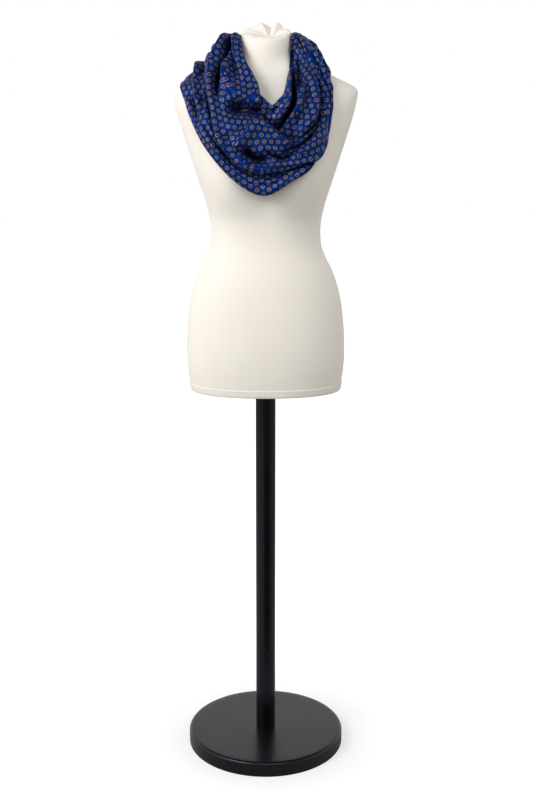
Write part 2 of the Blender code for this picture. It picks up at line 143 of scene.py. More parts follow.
def map_range(
    tree: Tree, value: Socket, given: tuple, wanted: tuple = (0.0, 1.0), curve: str = "LINEAR"
) -> Socket:
    """Move a value from one range to another, held at both ends.

    Args:
        tree: the node tree.
        value: the value's socket.
        given: the two ends of its own range.
        wanted: the ends that they become.
        curve: how it runs between them.

    Returns:
        The moved value's socket.
    """
    ends = {"From Min": given[0], "From Max": given[1], "To Min": wanted[0], "To Max": wanted[1]}
    return add_node(tree, "ShaderNodeMapRange", {"Value": value, **ends}, interpolation_type=curve).outputs[0]


def new_material(name: str, settings: dict) -> tuple[Material, Tree, Node]:
    """Make a material and set its shader's own sockets.

    Args:
        name: the material's name.
        settings: the values that are the same all over, by socket.

    Returns:
        The material, its node tree and its shader.
    """
    material = bpy.data.materials.new(name)
    material.use_nodes = True
    shader = material.node_tree.nodes["Principled BSDF"]
    for socket, value in settings.items():
        shader.inputs[socket].default_value = value
    return material, material.node_tree, shader


def add_relief(shader: Node, height: Socket, strength: float, depth: float) -> None:
    """Raise a fine relief on a shader's normal.

    Args:
        shader: the shader.
        height: the relief's height, from 0 to 1.
        strength: how strongly it shows.
        depth: its depth in metres.
    """
    tree = shader.id_data
    bump = add_node(tree, "ShaderNodeBump", {"Strength": strength, "Distance": depth, "Height": height})
    tree.links.new(bump.outputs[0], shader.inputs["Normal"])


def new_group(name: str, inputs: dict[str, str]) -> tuple[Tree, bpy.types.bpy_prop_collection]:
    """Start a geometry node tree with named inputs and a mesh for its output.

    Args:
        name: the tree's name.
        inputs: the kind of each input by its name.

    Returns:
        The tree and its inputs' sockets.
    """
    tree = bpy.data.node_groups.new(name, "GeometryNodeTree")
    for title, kind in inputs.items():
        tree.interface.new_socket(title, in_out="INPUT", socket_type="NodeSocket" + kind)
    tree.interface.new_socket("Mesh", in_out="OUTPUT", socket_type="NodeSocketGeometry")
    return tree, add_node(tree, "NodeGroupInput").outputs


def smooth_rows(keys: Sequence, rows: Sequence, at: Array, period: float | None = None) -> Array:
    """Read the rows of a table at any key, along a smooth curve through them.

    Args:
        keys: the key of each row, rising.
        rows: the rows of values.
        at: the keys to read at.
        period: the length after which the table repeats, if it does.

    Returns:
        One row of values for each key asked for.
    """
    keys = np.asarray(keys, float)
    rows = np.asarray(rows, float)
    at = np.asarray(at, float)
    if period:
        at = (at - keys[0]) % period + keys[0]
        keys = np.concatenate([[keys[-1] - period], keys, keys[:2] + period])
        rows = np.concatenate([rows[-1:], rows, rows[:2]])
    slopes = np.gradient(rows, keys, axis=0)
    place = np.clip(np.searchsorted(keys, at, side="right") - 1, 0, len(keys) - 2)
    span = keys[place + 1] - keys[place]
    t = np.clip((at - keys[place]) / span, 0.0, 1.0)[..., None]
    span = span[..., None]
    return (
        (2 * t**3 - 3 * t**2 + 1) * rows[place]
        + (t**3 - 2 * t**2 + t) * span * slopes[place]
        + (3 * t**2 - 2 * t**3) * rows[place + 1]
        + (t**3 - t**2) * span * slopes[place + 1]
    )


def eased(value: Array) -> Array:
    """Return a value held between 0 and 1 and eased at both ends."""
    value = np.clip(value, 0.0, 1.0)
    return value**2 * (3 - 2 * value)


def new_object(name: str, mesh: bpy.types.Mesh) -> Object:
    """Put a mesh into the scene as an object at the origin.

    Args:
        name: the object's name.
        mesh: its mesh.

    Returns:
        The object.
    """
    thing = bpy.data.objects.new(name, mesh)
    bpy.context.scene.collection.objects.link(thing)
    return thing


def grid_faces(rows: int, columns: int, round_rows: bool = False, round_columns: bool = False) -> list:
    """Return the quads of a grid of points, closed on itself either way if asked.

    Args:
        rows: the number of rows of points.
        columns: the number of points in a row.
        round_rows: whether the last row joins the first.
        round_columns: whether each row's last point joins its first.

    Returns:
        The faces as tuples of point numbers.
    """
    faces = []
    for row in range(rows if round_rows else rows - 1):
        here, there = row * columns, (row + 1) % rows * columns
        for column in range(columns if round_columns else columns - 1):
            ahead = (column + 1) % columns
            faces.append((here + column, here + ahead, there + ahead, there + column))
    return faces


def grid_object(name: str, points: Array, round_rows: bool = False, round_columns: bool = False) -> Object:
    """Make an object from a grid of points.

    Args:
        name: the object's name.
        points: the points, rows by columns by 3.
        round_rows: whether the last row joins the first.
        round_columns: whether each row's last point joins its first.

    Returns:
        The object, shaded smooth.
    """
    rows, columns, _ = points.shape
    mesh = bpy.data.meshes.new(name)
    mesh.from_pydata(points.reshape(-1, 3).tolist(), [], grid_faces(rows, columns, round_rows, round_columns))
    mesh.shade_smooth()
    return new_object(name, mesh)


def evaluated_copy(source: Object) -> Object:
    """Replace an object's live modifiers by the plain mesh that they make.

    Args:
        source: the object.

    Returns:
        The same object.
    """
    graph = bpy.context.evaluated_depsgraph_get()
    mesh = bpy.data.meshes.new_from_object(source.evaluated_get(graph))
    source.modifiers.clear()
    mesh.name = source.name
    source.data = mesh
    return source


def dress(piece: Object, material: Material) -> None:
    """Give a piece one material in place of any that it has."""
    piece.data.materials.clear()
    piece.data.materials.append(material)


def run_group(piece: Object, tree: Tree, values: dict) -> Object:
    """Run a node tree on an object and keep the plain mesh that it makes.

    Args:
        piece: the object.
        tree: the node tree.
        values: the values of the tree's inputs by name.

    Returns:
        The same object.
    """
    live = piece.modifiers.new(tree.name, "NODES")
    live.node_group = tree
    for socket in tree.interface.items_tree:
        if socket.in_out == "INPUT" and socket.name in values:
            live[socket.identifier] = values[socket.name]
    return evaluated_copy(piece)


# ---------------------------------------------------------------- finishes


@dataclass(frozen=True)
class PrintedSatin:
    """Polyester satin with a small foulard repeat: long floats give it soft, bright highlights."""

    ground: str = "042E78"
    deep_ground: str = "032057"
    rings: tuple = ((3.90, "20284A"), (3.60, "957C52"), (2.65, "1F2C55"), (1.60, "0C1230"))  # reach in mm
    dot: str = "6F6F74"
    warm_dot: str = "843F2C"
    dot_reach_mm: float = 1.05
    rows: tuple = ((0.0, 0.15), (0.5, 0.40))  # each row's shift and its share of rust red centres
    painted_crease_shade: str = "020618"  # painted shade: the colour given where folds close in, in place of the shadow there
    painted_shade_reach: float = 0.022
    painted_shade_open: tuple[float, float] = (0.30, 0.85)  # the open shares of the view at full and at no painted shade
    across_mm: float = 13.0
    along_mm: float = 12.5
    roughness: float = 0.45
    gloss: float = 0.30  # the share of light that the dyed floats mirror in their own colour
    weave_mm: float = 0.9  # the real twill line is 0.3 mm, drawn coarser so that it shows
    weave_slant: float = 63.0

    def lattice(self, tree: Tree, place: Socket, shift: float) -> tuple:
        """Lay out one of the two interleaved rows of motifs.

        Args:
            tree: the material's tree.
            place: the place on the cloth, in millimetres.
            shift: the share of a repeat by which this row is moved.

        Returns:
            Sockets with the distance from the nearest motif's centre and its random number.
        """
        cell = (self.across_mm, 2 * self.along_mm, 1.0)
        moved = vector_node(tree, "ADD", place, (cell[0] * shift, cell[1] * shift, 0.0))
        scaled = vector_node(tree, "DIVIDE", moved, cell)
        centred = vector_node(tree, "SUBTRACT", vector_node(tree, "FRACTION", scaled), (0.5, 0.5, 0.0))
        folded = vector_node(tree, "ABSOLUTE", vector_node(tree, "MULTIPLY", centred, cell))
        x, y, _ = add_node(tree, "ShaderNodeSeparateXYZ", {0: folded}).outputs
        square = math_node(tree, "MAXIMUM", x, y)
        diamond = math_node(tree, "MULTIPLY", math_node(tree, "ADD", x, y), 0.72)
        octagon = math_node(tree, "MAXIMUM", square, diamond)
        whole = vector_node(tree, "FLOOR", scaled)
        draw = add_node(tree, "ShaderNodeTexWhiteNoise", {"Vector": whole}, noise_dimensions="3D")
        return octagon, draw.outputs["Value"]

    def motif(self, tree: Tree, ground: Socket, warm: float, away: Socket, draw: Socket) -> Socket:
        """Colour one motif: a tan ring, a slate field and a small centre.

        Args:
            tree: the material's tree.
            ground: the colour outside the motif.
            warm: the share of centres that are rust red instead of grey.
            away: the distance from the motif's centre, in millimetres.
            draw: the motif's random number.

        Returns:
            The colour socket.
        """
        centre = mix(tree, math_node(tree, "LESS_THAN", draw, warm), self.dot, self.warm_dot)
        discs = [(reach, 0.22, code) for reach, code in self.rings] + [(self.dot_reach_mm, 0.20, centre)]
        for reach, soft, colour in discs:
            inside = map_range(tree, away, (reach + soft, reach - soft))
            ground = mix(tree, inside, ground, colour)
        return ground

    def material(self) -> Material:
        """Make the satin's material, its print on the cloth's own UV map in metres, with painted shade in its
        creases.

        Returns:
            The material.
        """
        shine = {"Roughness": self.roughness, "Metallic": self.gloss, "Anisotropic": 0.35}
        tint = {"IOR": 1.36, "Specular Tint": linear("4A82F0")}
        material, tree, shader = new_material("printed_satin", {**shine, **tint})
        cloth = add_node(tree, "ShaderNodeUVMap", uv_map="cloth")
        place = vector_node(tree, "MULTIPLY", cloth.outputs[0], (1000.0, 1000.0, 0.0))
        colour = mix(tree, noise(tree, place, 0.05, 2.0), self.ground, self.deep_ground)
        for shift, warm in self.rows:
            colour = self.motif(tree, colour, warm, *self.lattice(tree, place, shift))
        # Painted shade: where ambient occlusion finds folds closing in, the colour is drawn towards near
        # black.
        closed = add_node(tree, "ShaderNodeAmbientOcclusion", {"Distance": self.painted_shade_reach}, samples=8)
        painted_shade_openness = map_range(tree, closed.outputs["AO"], self.painted_shade_open, (0.10, 1.0))
        tree.links.new(mix(tree, painted_shade_openness, self.painted_crease_shade, colour), shader.inputs["Base Color"])
        slant = {"Vector": place, "Rotation": (0.0, 0.0, math.radians(self.weave_slant))}
        turned = add_node(tree, "ShaderNodeMapping", slant).outputs[0]
        lines = {"Vector": turned, "Scale": 1.0 / self.weave_mm / 3.1, "Distortion": 0.6, "Detail": 1.0}
        add_relief(shader, add_node(tree, "ShaderNodeTexWave", lines).outputs["Fac"], 0.10, 0.0001)
        return material


@dataclass(frozen=True)
class CoverJersey:
    """Brushed cotton jersey, knitted fine and pulled taut over padding: matt, with a faint grain."""

    tone: str = "F1ECE3"
    shade: str = "ECE6DC"
    grain_mm: float = 1.6  # the real knit is 0.8 mm a rib, drawn coarser so that it shows
    roughness: float = 0.88

    def material(self) -> Material:
        """Make the cover's material.

        Returns:
            The material.
        """
        nap = {"Roughness": self.roughness, "Sheen Weight": 0.15, "Sheen Roughness": 0.6}
        material, tree, shader = new_material("cotton_jersey", nap)
        place = add_node(tree, "ShaderNodeTexCoord").outputs["Object"]
        tone = mix(tree, noise(tree, place, 14.0, 5.0), self.tone, self.shade)
        tree.links.new(tone, shader.inputs["Base Color"])
        add_relief(shader, noise(tree, place, 1.0 / (self.grain_mm * MM), 3.0), 0.35, 0.0004)
        return material


@dataclass(frozen=True)
class SatinPaint:
    """Black powder coat on steel: satin, with a very fine orange peel that spreads its highlights."""

    tone: str = "040405"
    roughness: float = 0.26
    peel_mm: float = 1.2

    def material(self) -> Material:
        """Make the paint's material.

        Returns:
            The material.
        """
        coat = {"Base Color": linear(self.tone), "IOR": 1.44, "Specular Tint": linear("E4ECFF")}
        material, tree, shader = new_material("black_powder_coat", coat)
        place = add_node(tree, "ShaderNodeTexCoord").outputs["Object"]
        worn = (self.roughness - 0.04, self.roughness + 0.06)
        rough = map_range(tree, noise(tree, place, 9.0, 4.0), (0.3, 0.7), worn)
        tree.links.new(rough, shader.inputs["Roughness"])
        add_relief(shader, noise(tree, place, 1.0 / (self.peel_mm * MM), 2.0), 0.12, 0.0002)
        return material


@dataclass(frozen=True)
class SewingThread:
    """Spun polyester thread: matt, with a slight twist."""

    name: str
    tone: str
    roughness: float = 0.7

    def material(self) -> Material:
        """Make the thread's material.

        Returns:
            The material.
        """
        material, tree, shader = new_material(self.name, {"Roughness": self.roughness})
        place = add_node(tree, "ShaderNodeTexCoord").outputs["Object"]
        dark = tuple(channel * 0.8 for channel in linear(self.tone)[:3])
        tone = mix(tree, noise(tree, place, 2500.0, 1.0), self.tone, (*dark, 1.0))
        tree.links.new(tone, shader.inputs["Base Color"])
        return material


# ---------------------------------------------------------------- stitches


@dataclass
class StitchRow:
    """A row of lockstitches along a line on the cloth."""

    name: str
    line: Array
    closed: bool
    pitch: float
    length: float
    radius: float
    material: Material

    def tree(self) -> Tree:
        """Make the node tree that lays small round-ended stitches along a line.

        Returns:
            The node tree.
        """
        sizes = dict.fromkeys(("Pitch", "Length", "Radius"), "Float")
        tree, given = new_group("stitch_row", {"Line": "Geometry", **sizes, "Thread": "Material"})
        curve = add_node(tree, "GeometryNodeMeshToCurve", {0: given["Line"]})
        steps = {"Curve": curve.outputs[0], "Length": given["Pitch"]}
        spaced = add_node(tree, "GeometryNodeResampleCurve", steps, mode="LENGTH")
        ahead = add_node(tree, "GeometryNodeInputTangent").outputs[0]
        aligned = add_node(tree, "FunctionNodeAlignRotationToVector", {"Vector": ahead}, axis="Z")
        round_end = {"Segments": 6, "Rings": 4, "Radius": given["Radius"]}
        bead = add_node(tree, "GeometryNodeMeshUVSphere", round_end)
        longer = math_node(tree, "DIVIDE", given["Length"], given["Radius"])
        shape = {0: 1.0, 1: 1.0, 2: math_node(tree, "MULTIPLY", longer, 0.5)}
        placed = add_node(
            tree,
            "GeometryNodeInstanceOnPoints",
            {
                "Points": spaced.outputs[0],
                "Instance": bead.outputs[0],
                "Rotation": aligned.outputs[0],
                "Scale": add_node(tree, "ShaderNodeCombineXYZ", shape).outputs[0],
            },
        )
        real = add_node(tree, "GeometryNodeRealizeInstances", {0: placed.outputs[0]})
        smooth = add_node(tree, "GeometryNodeSetShadeSmooth", {0: real.outputs[0]})
        dye = {"Geometry": smooth.outputs[0], "Material": given["Thread"]}
        add_node(tree, "NodeGroupOutput", {0: add_node(tree, "GeometryNodeSetMaterial", dye).outputs[0]})
        return tree

    def build(self) -> Object:
        """Build the stitches as one plain mesh.

        Returns:
            The stitches.
        """
        count = len(self.line)
        edges = [(at, (at + 1) % count) for at in range(count if self.closed else count - 1)]
        mesh = bpy.data.meshes.new(self.name)
        mesh.from_pydata(self.line.tolist(), edges, [])
        values = {"Pitch": self.pitch, "Length": self.length, "Radius": self.radius, "Thread": self.material}
        return run_group(new_object(self.name, mesh), self.tree(), values)


# ---------------------------------------------------------------- stand


@dataclass
class Stand:
    """The round weighted base and the pole."""

    base_radius: float = 0.170
    base_thickness: float = 0.032
    top_rounding: float = 0.007
    foot_rounding: float = 0.0015
    pole_radius: float = 0.021
    sides: int = 160
    sharp_from: float = math.radians(40.0)

    def base_profile(self) -> list[tuple[float, float]]:
        """Work out the base's turned outline, radius and height, from its foot to its middle.

        Returns:
            The outline's places.
        """
        quarter = [math.pi / 2 * step / 8 for step in range(9)]
        radius, thickness = self.base_radius, self.base_thickness
        foot, top = self.foot_rounding, self.top_rounding
        outline = [(0.0, 0.0)]
        outline += [(radius - foot * (1 - math.sin(t)), foot * (1 - math.cos(t))) for t in quarter]
        outline += [(radius - top * (1 - math.cos(t)), thickness - top * (1 - math.sin(t))) for t in quarter]
        return outline + [(radius * share, thickness) for share in (0.9, 0.7, 0.45, 0.2, 0.0)]

    def build_base(self) -> Object:
        """Build the base, turned from its outline.

        Returns:
            The base.
        """
        shape = bmesh.new()
        points = [shape.verts.new((radius, 0.0, height)) for radius, height in self.base_profile()]
        edges = [shape.edges.new(pair) for pair in zip(points, points[1:])]
        turn = {"cent": (0, 0, 0), "axis": (0, 0, 1), "angle": 2 * math.pi, "steps": self.sides}
        bmesh.ops.spin(shape, geom=points + edges, use_merge=True, **turn)
        bmesh.ops.remove_doubles(shape, verts=shape.verts, dist=1e-6)
        return self.finish(shape, new_object("stand_base", bpy.data.meshes.new("stand_base")))

    def build_pole(self) -> Object:
        """Build the pole, a straight tube that follows the stand's axis.

        Returns:
            The pole.
        """
        low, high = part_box("pole")
        tree, given = new_group("round_bar", dict.fromkeys(("Foot", "Head", "Radius"), "Float"))
        foot, head = (add_node(tree, "ShaderNodeCombineXYZ", {2: given[end]}) for end in ("Foot", "Head"))
        ends = {"Start": foot.outputs[0], "End": head.outputs[0]}
        axis = add_node(tree, "GeometryNodeCurvePrimitiveLine", ends)
        cut = add_node(tree, "GeometryNodeResampleCurve", {"Curve": axis.outputs[0], "Count": 40})
        wide = {"Resolution": 96, "Radius": given["Radius"]}
        ring = add_node(tree, "GeometryNodeCurvePrimitiveCircle", wide)
        sweep = {"Curve": cut.outputs[0], "Profile Curve": ring.outputs[0], "Fill Caps": True}
        add_node(tree, "NodeGroupOutput", {0: add_node(tree, "GeometryNodeCurveToMesh", sweep).outputs[0]})
        piece = new_object("stand_pole", bpy.data.meshes.new("stand_pole"))
        run_group(piece, tree, {"Foot": low.z, "Head": high.z, "Radius": self.pole_radius})
        shape = bmesh.new()
        shape.from_mesh(piece.data)
        return self.finish(shape, piece)

    def finish(self, shape: bmesh.types.BMesh, piece: Object) -> Object:
        """Put a shape into a piece, its faces turned outward and smooth up to its sharp edges.

        Args:
            shape: the shape, which is used up.
            piece: the piece that gets it.

        Returns:
            The piece.
        """
        bmesh.ops.recalc_face_normals(shape, faces=shape.faces)
        shape.to_mesh(piece.data)
        shape.free()
        piece.data.shade_smooth()
        piece.data.set_sharp_from_angle(angle=self.sharp_from)
        return piece

    def build(self, paint: Material) -> None:
        """Build both pieces and hand them to the frame.

        Args:
            paint: the stand's paint.
        """
        for piece, node in ((self.build_base(), "base_disc"), (self.build_pole(), "pole")):
            dress(piece, paint)
            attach(piece, "root")
            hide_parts(node)
            LOG.info("%s: %d faces", piece.name, len(piece.data.polygons))


# ---------------------------------------------------------------- form

# Form sections, mm: height, half width, front, back, squareness, forward tip of the plane
FORM_SECTIONS = (
    (806, 155, 104, 112, 2.25, 0),
    (822.5, 158.5, 107, 115, 2.25, 0),
    (860, 163, 111, 121, 2.25, 0),
    (910, 163.5, 112, 125, 2.25, 0),
    (962, 159.5, 108, 123, 2.22, 0),
    (1000, 153.5, 103, 115, 2.2, 0),
    (1030, 145.5, 98, 106, 2.18, 0),
    (1056, 135.5, 92.5, 98.5, 2.18, 0),
    (1080, 123.5, 87, 90.5, 2.15, 0),
    (1104, 114.5, 83, 84.5, 2.15, 0),
    (1130, 112, 82, 82.5, 2.15, 0),
    (1158, 113.5, 84, 82.5, 2.15, 0),
    (1190, 120.5, 90, 85.5, 2.2, 0),
    (1225, 131.5, 94, 91, 2.22, 0),
    (1262, 143.5, 96, 98, 2.25, 0),
    (1314, 160, 92, 104, 2.3, 0),
    (1360, 174, 82, 103, 2.4, 0),
    (1392, 181.5, 70, 95, 2.45, 0),
    (1408, 183, 63, 88, 2.4, 0),
    (1418, 176, 60, 82, 2.3, 0.02),
    (1430, 152, 57, 75, 2.15, 0.04),
    (1446, 118, 54, 67, 2.05, 0.08),
    (1460, 87, 52, 61, 2, 0.14),
    (1472, 65, 51, 57, 2, 0.2),
    (1486, 53.5, 50.5, 54, 2, 0.28),
    (1504, 51, 50, 53, 2, 0.33),
    (1516, 49.5, 48.5, 51.5, 2, 0.35),
    (1522, 46, 45.5, 48, 2, 0.36),
    (1523.5, 37, 36.5, 39, 2, 0.36),
    (1519.5, 22, 21, 24, 2, 0.36),
    (1510.5, 8, 7.5, 8.5, 2, 0.36),
)


# Pleats of the gathered cap: degrees round it, width in radians, rise in metres
CAP_PLEATS = (
    (102, 0.17, 0.0052),
    (80, 0.12, -0.006),
    (58, 0.18, 0.004),
    (33, 0.14, -0.0046),
    (130, 0.14, -0.005),
)

@dataclass
class DressForm:
    """The padded form: its jersey cover, drawn together on the cap, and the turned hem."""

    sides: int = 200
    rings_per_section: int = 6
    bust_reach: float = 0.030
    bust_height: float = 1.243
    bust_apart: float = 0.158
    bust_spread: float = 0.043
    hem_height: float = 0.016
    stitch_height: float = 0.0128
    hem_thickness: float = 0.0018
    hem_gap: float = 0.0006
    cap_section: float = 25.0
    gather_shift: float = 0.008
    gather_depth: float = 0.0042

    def ring(self, section: Sequence[float], inset: float = 0.0) -> Array:
        """Return one level ring of the form.

        Args:
            section: a row of the form's sections.
            inset: how far the ring is drawn in.

        Returns:
            The ring's points.
        """
        height, half_width, front, back, squareness, tip = section
        turn = np.linspace(0.0, 2 * np.pi, self.sides, endpoint=False)
        cosine, sine = np.cos(turn), np.sin(turn)
        depth = np.where(sine < 0, front, back) * MM - inset
        x = (half_width * MM - inset) * np.sign(cosine) * np.abs(cosine) ** (2 / squareness)
        y = depth * np.sign(sine) * np.abs(sine) ** (2 / squareness)
        z = height * MM + tip * y
        from_apex = (np.abs(x) - self.bust_apart / 2) ** 2 + (z - self.bust_height) ** 2
        facing = np.clip(-y / (front * MM), 0.0, 1.0)
        y = y - self.bust_reach * facing * np.exp(-from_apex / (2 * self.bust_spread**2))
        return np.stack([x, y, z], axis=-1)

    def gathers(self, points: Array, share: float) -> Array:
        """Draw one ring of the cap towards the knot of its gathers and crease it.

        Args:
            points: the ring's points.
            share: how far the ring is from the cap's rim (0) to its middle (1).

        Returns:
            The ring's points, moved.
        """
        turn = np.linspace(0.0, 2 * np.pi, self.sides, endpoint=False)
        strength = eased(np.array((share - 0.2) / 0.45)) * (1 - 0.6 * eased(np.array((share - 0.8) / 0.2)))
        waves = (
            0.60 * np.sin(7 * turn + 0.8 * np.sin(2 * turn))
            + 0.35 * np.sin(13 * turn + 1.3)
            + 0.20 * np.sin(21 * turn + 0.4 * np.sin(3 * turn))
        )
        waves = (waves - 0.35 * np.abs(waves)) * (0.30 + 0.70 * eased((np.sin(turn) + 0.45) / 0.8))
        moved = points.copy()
        moved[:, 2] += self.gather_depth * strength * waves
        moved[:, 0] += self.gather_shift * share**1.5
        for centre, width, rise in CAP_PLEATS:
            near = np.exp(-(((turn - math.radians(centre)) / width) ** 2))
            moved[:, 2] += rise * near * eased(np.array(share / 0.3)) * (1 - share**3)
        return moved

    def build_cover(self) -> Object:
        """Build the cover, closed under the form and drawn together on the cap.

        Returns:
            The cover.
        """
        table = np.asarray(FORM_SECTIONS)
        index = np.arange(len(table))
        at = np.linspace(0, len(table) - 1, (len(table) - 1) * self.rings_per_section + 1)
        rings = []
        for place, row in zip(at, smooth_rows(index, table, at)):
            ring = self.ring(row)
            if place > self.cap_section:
                share = (place - self.cap_section) / (len(table) - 1 - self.cap_section)
                ring = self.gathers(ring, share)
            rings.append(ring)
        count = self.sides
        points = np.concatenate(rings).tolist()
        faces = grid_faces(len(rings), count, round_columns=True)
        under, knot = len(points), len(points) + 1
        points.append([0.0, 0.0, rings[0][:, 2].mean()])
        knot_place = rings[-1].mean(axis=0) - np.array([0.0, 0.0, 0.0012])
        points.append(knot_place.tolist())
        last = (len(rings) - 1) * count
        for side in range(count):
            ahead = (side + 1) % count
            faces.append((side, under, ahead))
            faces.append((last + side, last + ahead, knot))
        mesh = bpy.data.meshes.new("form_cover")
        mesh.from_pydata(points, [], faces)
        mesh.shade_smooth()
        mesh.set_sharp_from_angle(angle=math.radians(70.0))
        return new_object("form_cover", mesh)

    def level(self, height: float, inset: float) -> Array:
        """Return the form's ring at any height in metres, drawn in by an inset."""
        table = np.asarray(FORM_SECTIONS)
        return self.ring(smooth_rows(table[:, 0] * MM, table, np.array([height]))[0], inset)

    def build_hem(self) -> Object:
        """Build the cover's turned hem, a soft-edged band round the bottom.

        Returns:
            The hem.
        """
        thick, gap = self.hem_thickness, self.hem_gap
        profile = (
            (0.0, gap),
            (0.0, thick * 0.7),
            (0.0007, thick),
            (0.0050, thick * 1.02),
            (0.0105, thick * 0.98),
            (self.stitch_height, thick * 0.80),
            (0.0145, thick * 0.95),
            (0.0156, thick * 0.75),
            (self.hem_height, gap),
        )
        bottom = FORM_SECTIONS[0][0] * MM
        rings = np.array([self.level(bottom + up, -out) for up, out in profile])
        return grid_object("form_hem", rings, round_rows=True, round_columns=True)

    def build_stitches(self, thread: Material) -> Object:
        """Return the row of stitches in the hem's groove."""
        line = self.level(FORM_SECTIONS[0][0] * MM + self.stitch_height, -self.hem_thickness * 0.86)
        return StitchRow("form_hem_stitches", line, True, 0.0042, 0.0030, 0.00032, thread).build()

    def build(self, jersey: Material, thread: Material) -> Object:
        """Build the cover, the hem and its stitches.

        Args:
            jersey: the cover's finish.
            thread: the hem's thread.

        Returns:
            The cover, which the cloth rests on.
        """
        cover, hem, stitches = self.build_cover(), self.build_hem(), self.build_stitches(thread)
        for piece, node in ((cover, "form_torso"), (hem, "form_hem_band"), (stitches, None)):
            if piece is not stitches:
                dress(piece, jersey)
            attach(piece, "root")
            if node:
                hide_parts(node)
            LOG.info("%s: %d faces", piece.name, len(piece.data.polygons))
        return cover


# ---------------------------------------------------------------- drape

# Drape sections, mm: angle, then out and up of four places down the section
DRAPE_SECTIONS = (
    (-180, 57, 1524, 88, 1499, 116, 1432, 124, 1345),
    (-150, 57, 1524, 93, 1503, 130, 1444, 143, 1362),
    (-120, 56, 1521, 98, 1505, 142, 1459, 162, 1401),
    (-90, 54.5, 1521, 96, 1501, 135, 1463, 165, 1430),
    (-66, 55, 1516, 93, 1484, 133, 1434, 170, 1374),
    (-45, 56, 1505, 95, 1459, 137, 1390, 166.5, 1301),
    (-22, 57, 1495, 96, 1434, 137, 1345, 152, 1236),
    (0, 57, 1492, 96, 1424, 134, 1330, 144, 1212),
    (20, 57, 1494, 96, 1430, 137, 1342, 150, 1238),
    (40, 56, 1499, 96, 1449, 143, 1376, 167, 1280),
    (60, 55, 1514, 91, 1476, 130, 1425, 149, 1363),
    (75, 55, 1522, 88, 1494, 117, 1457, 132, 1434),
    (90, 55, 1522, 86, 1506, 109, 1481, 121, 1455),
    (120, 56, 1522, 91, 1506, 120, 1468, 132, 1427),
    (150, 57, 1524, 92, 1503, 126, 1444, 138, 1370),
)

# Edges of each turn: angle, share at the edge nearer the neck, share at the outer edge
SWEEP_EDGES = (
    (-180, 0, 0.68),
    (-120, 0, 0.52),
    (-95, 0, 0.43),
    (-83, 0, 0.44),
    (-74, 0.005, 0.575),
    (-63, 0.025, 0.665),
    (-51.5, 0.06, 0.71),
    (-44, 0.1, 0.765),
    (-38, 0.14, 0.85),
    (-27, 0.215, 0.89),
    (-13.8, 0.3, 0.895),
    (-7, 0.385, 0.895),
    (-3, 0.55, 0.892),
    (7, 0.635, 0.894),
    (15, 0.71, 0.908),
    (23, 0.785, 0.925),
    (30, 0.775, 0.945),
    (37, 0.78, 0.98),
    (43, 0.78, 1),
    (49, 0.71, 1),
    (54, 0.57, 1),
    (60, 0.385, 1),
    (68, 0.24, 1),
    (85, 0.08, 1),
    (105, 0, 0.98),
    (150, 0, 0.74),
)
FALL_EDGES = (
    (-180, 0.58, 1),
    (-120, 0.43, 1),
    (-95, 0.34, 1),
    (-83, 0.35, 1),
    (-63, 0.57, 1),
    (-44, 0.68, 1),
    (-30, 0.79, 1),
    (0, 0.8, 1),
    (18, 0.82, 1),
    (30, 0.85, 1),
    (46, 0.85, 0.95),
    (116, 0.78, 0.88),
    (126, 0.74, 0.96),
    (136, 0.69, 1),
    (150, 0.64, 1),
)
STRAND_EDGES = (
    (-24, 0.385, 0.59),
    (-6, 0.415, 0.64),
    (0.5, 0.445, 0.68),
    (6.8, 0.478, 0.72),
    (13, 0.452, 0.77),
    (20, 0.415, 0.82),
    (26.5, 0.33, 0.82),
    (36.5, 0.24, 0.82),
    (45, 0.16, 0.815),
    (52, 0.11, 0.74),
    (58, 0.078, 0.54),
    (68, 0.02, 0.34),
    (85, 0, 0.2),
    (105, 0, 0.14),
)

# Angles that the cross lines of the sweep join: at its outer edge, at its edge nearer the neck
SWEEP_SKEW = (
    (-128, -128),
    (-70, -66),
    (-45, -30),
    (-30, -12),
    (-20, -6),
    (-10, -3.6),
    (0, 0),
    (14, 13),
    (28, 24),
    (50, 46),
    (70, 62),
    (90, 84),
    (128, 128),
)


@dataclass(frozen=True)
class Drape:
    """The smooth surface that the whole scarf lies on, from the neck out over the shoulders."""

    def points(self, angles: Array, shares: Array) -> Array:
        """Return points of the drape.

        Args:
            angles: angles round the neck, in degrees.
            shares: shares of the way from the neck to the outer edge.

        Returns:
            The points.
        """
        table = np.asarray(DRAPE_SECTIONS)
        rows = smooth_rows(table[:, 0], table[:, 1:], angles, period=360.0) * MM
        stops = np.arange(4) / 3.0
        out = np.zeros(np.shape(shares))
        up = np.zeros(np.shape(shares))
        for own in range(4):
            weight = np.ones(np.shape(shares))
            for other in range(4):
                if other != own:
                    weight = weight * (shares - stops[other]) / (stops[own] - stops[other])
            out = out + weight * rows[..., 2 * own]
            up = up + weight * rows[..., 2 * own + 1]
        turn = np.radians(angles)
        return np.stack([out * np.sin(turn), -out * np.cos(turn), up], axis=-1)

    def frame(self, angles: Array, shares: Array) -> tuple[Array, Array]:
        """Return the drape's normals, away from the form, and its metres for each unit share.

        Args:
            angles: angles round the neck, in degrees.
            shares: shares of the way from the neck to the outer edge.

        Returns:
            The unit normals and the metres for each unit share.
        """
        step = 0.002
        along = self.points(angles + 1.0, shares) - self.points(angles - 1.0, shares)
        down = self.points(angles, shares + step) - self.points(angles, shares - step)
        normals = np.cross(down, along)
        normals = normals / np.linalg.norm(normals, axis=-1, keepdims=True)
        return normals, np.linalg.norm(down, axis=-1) / (2 * step)


DRAPE = Drape()


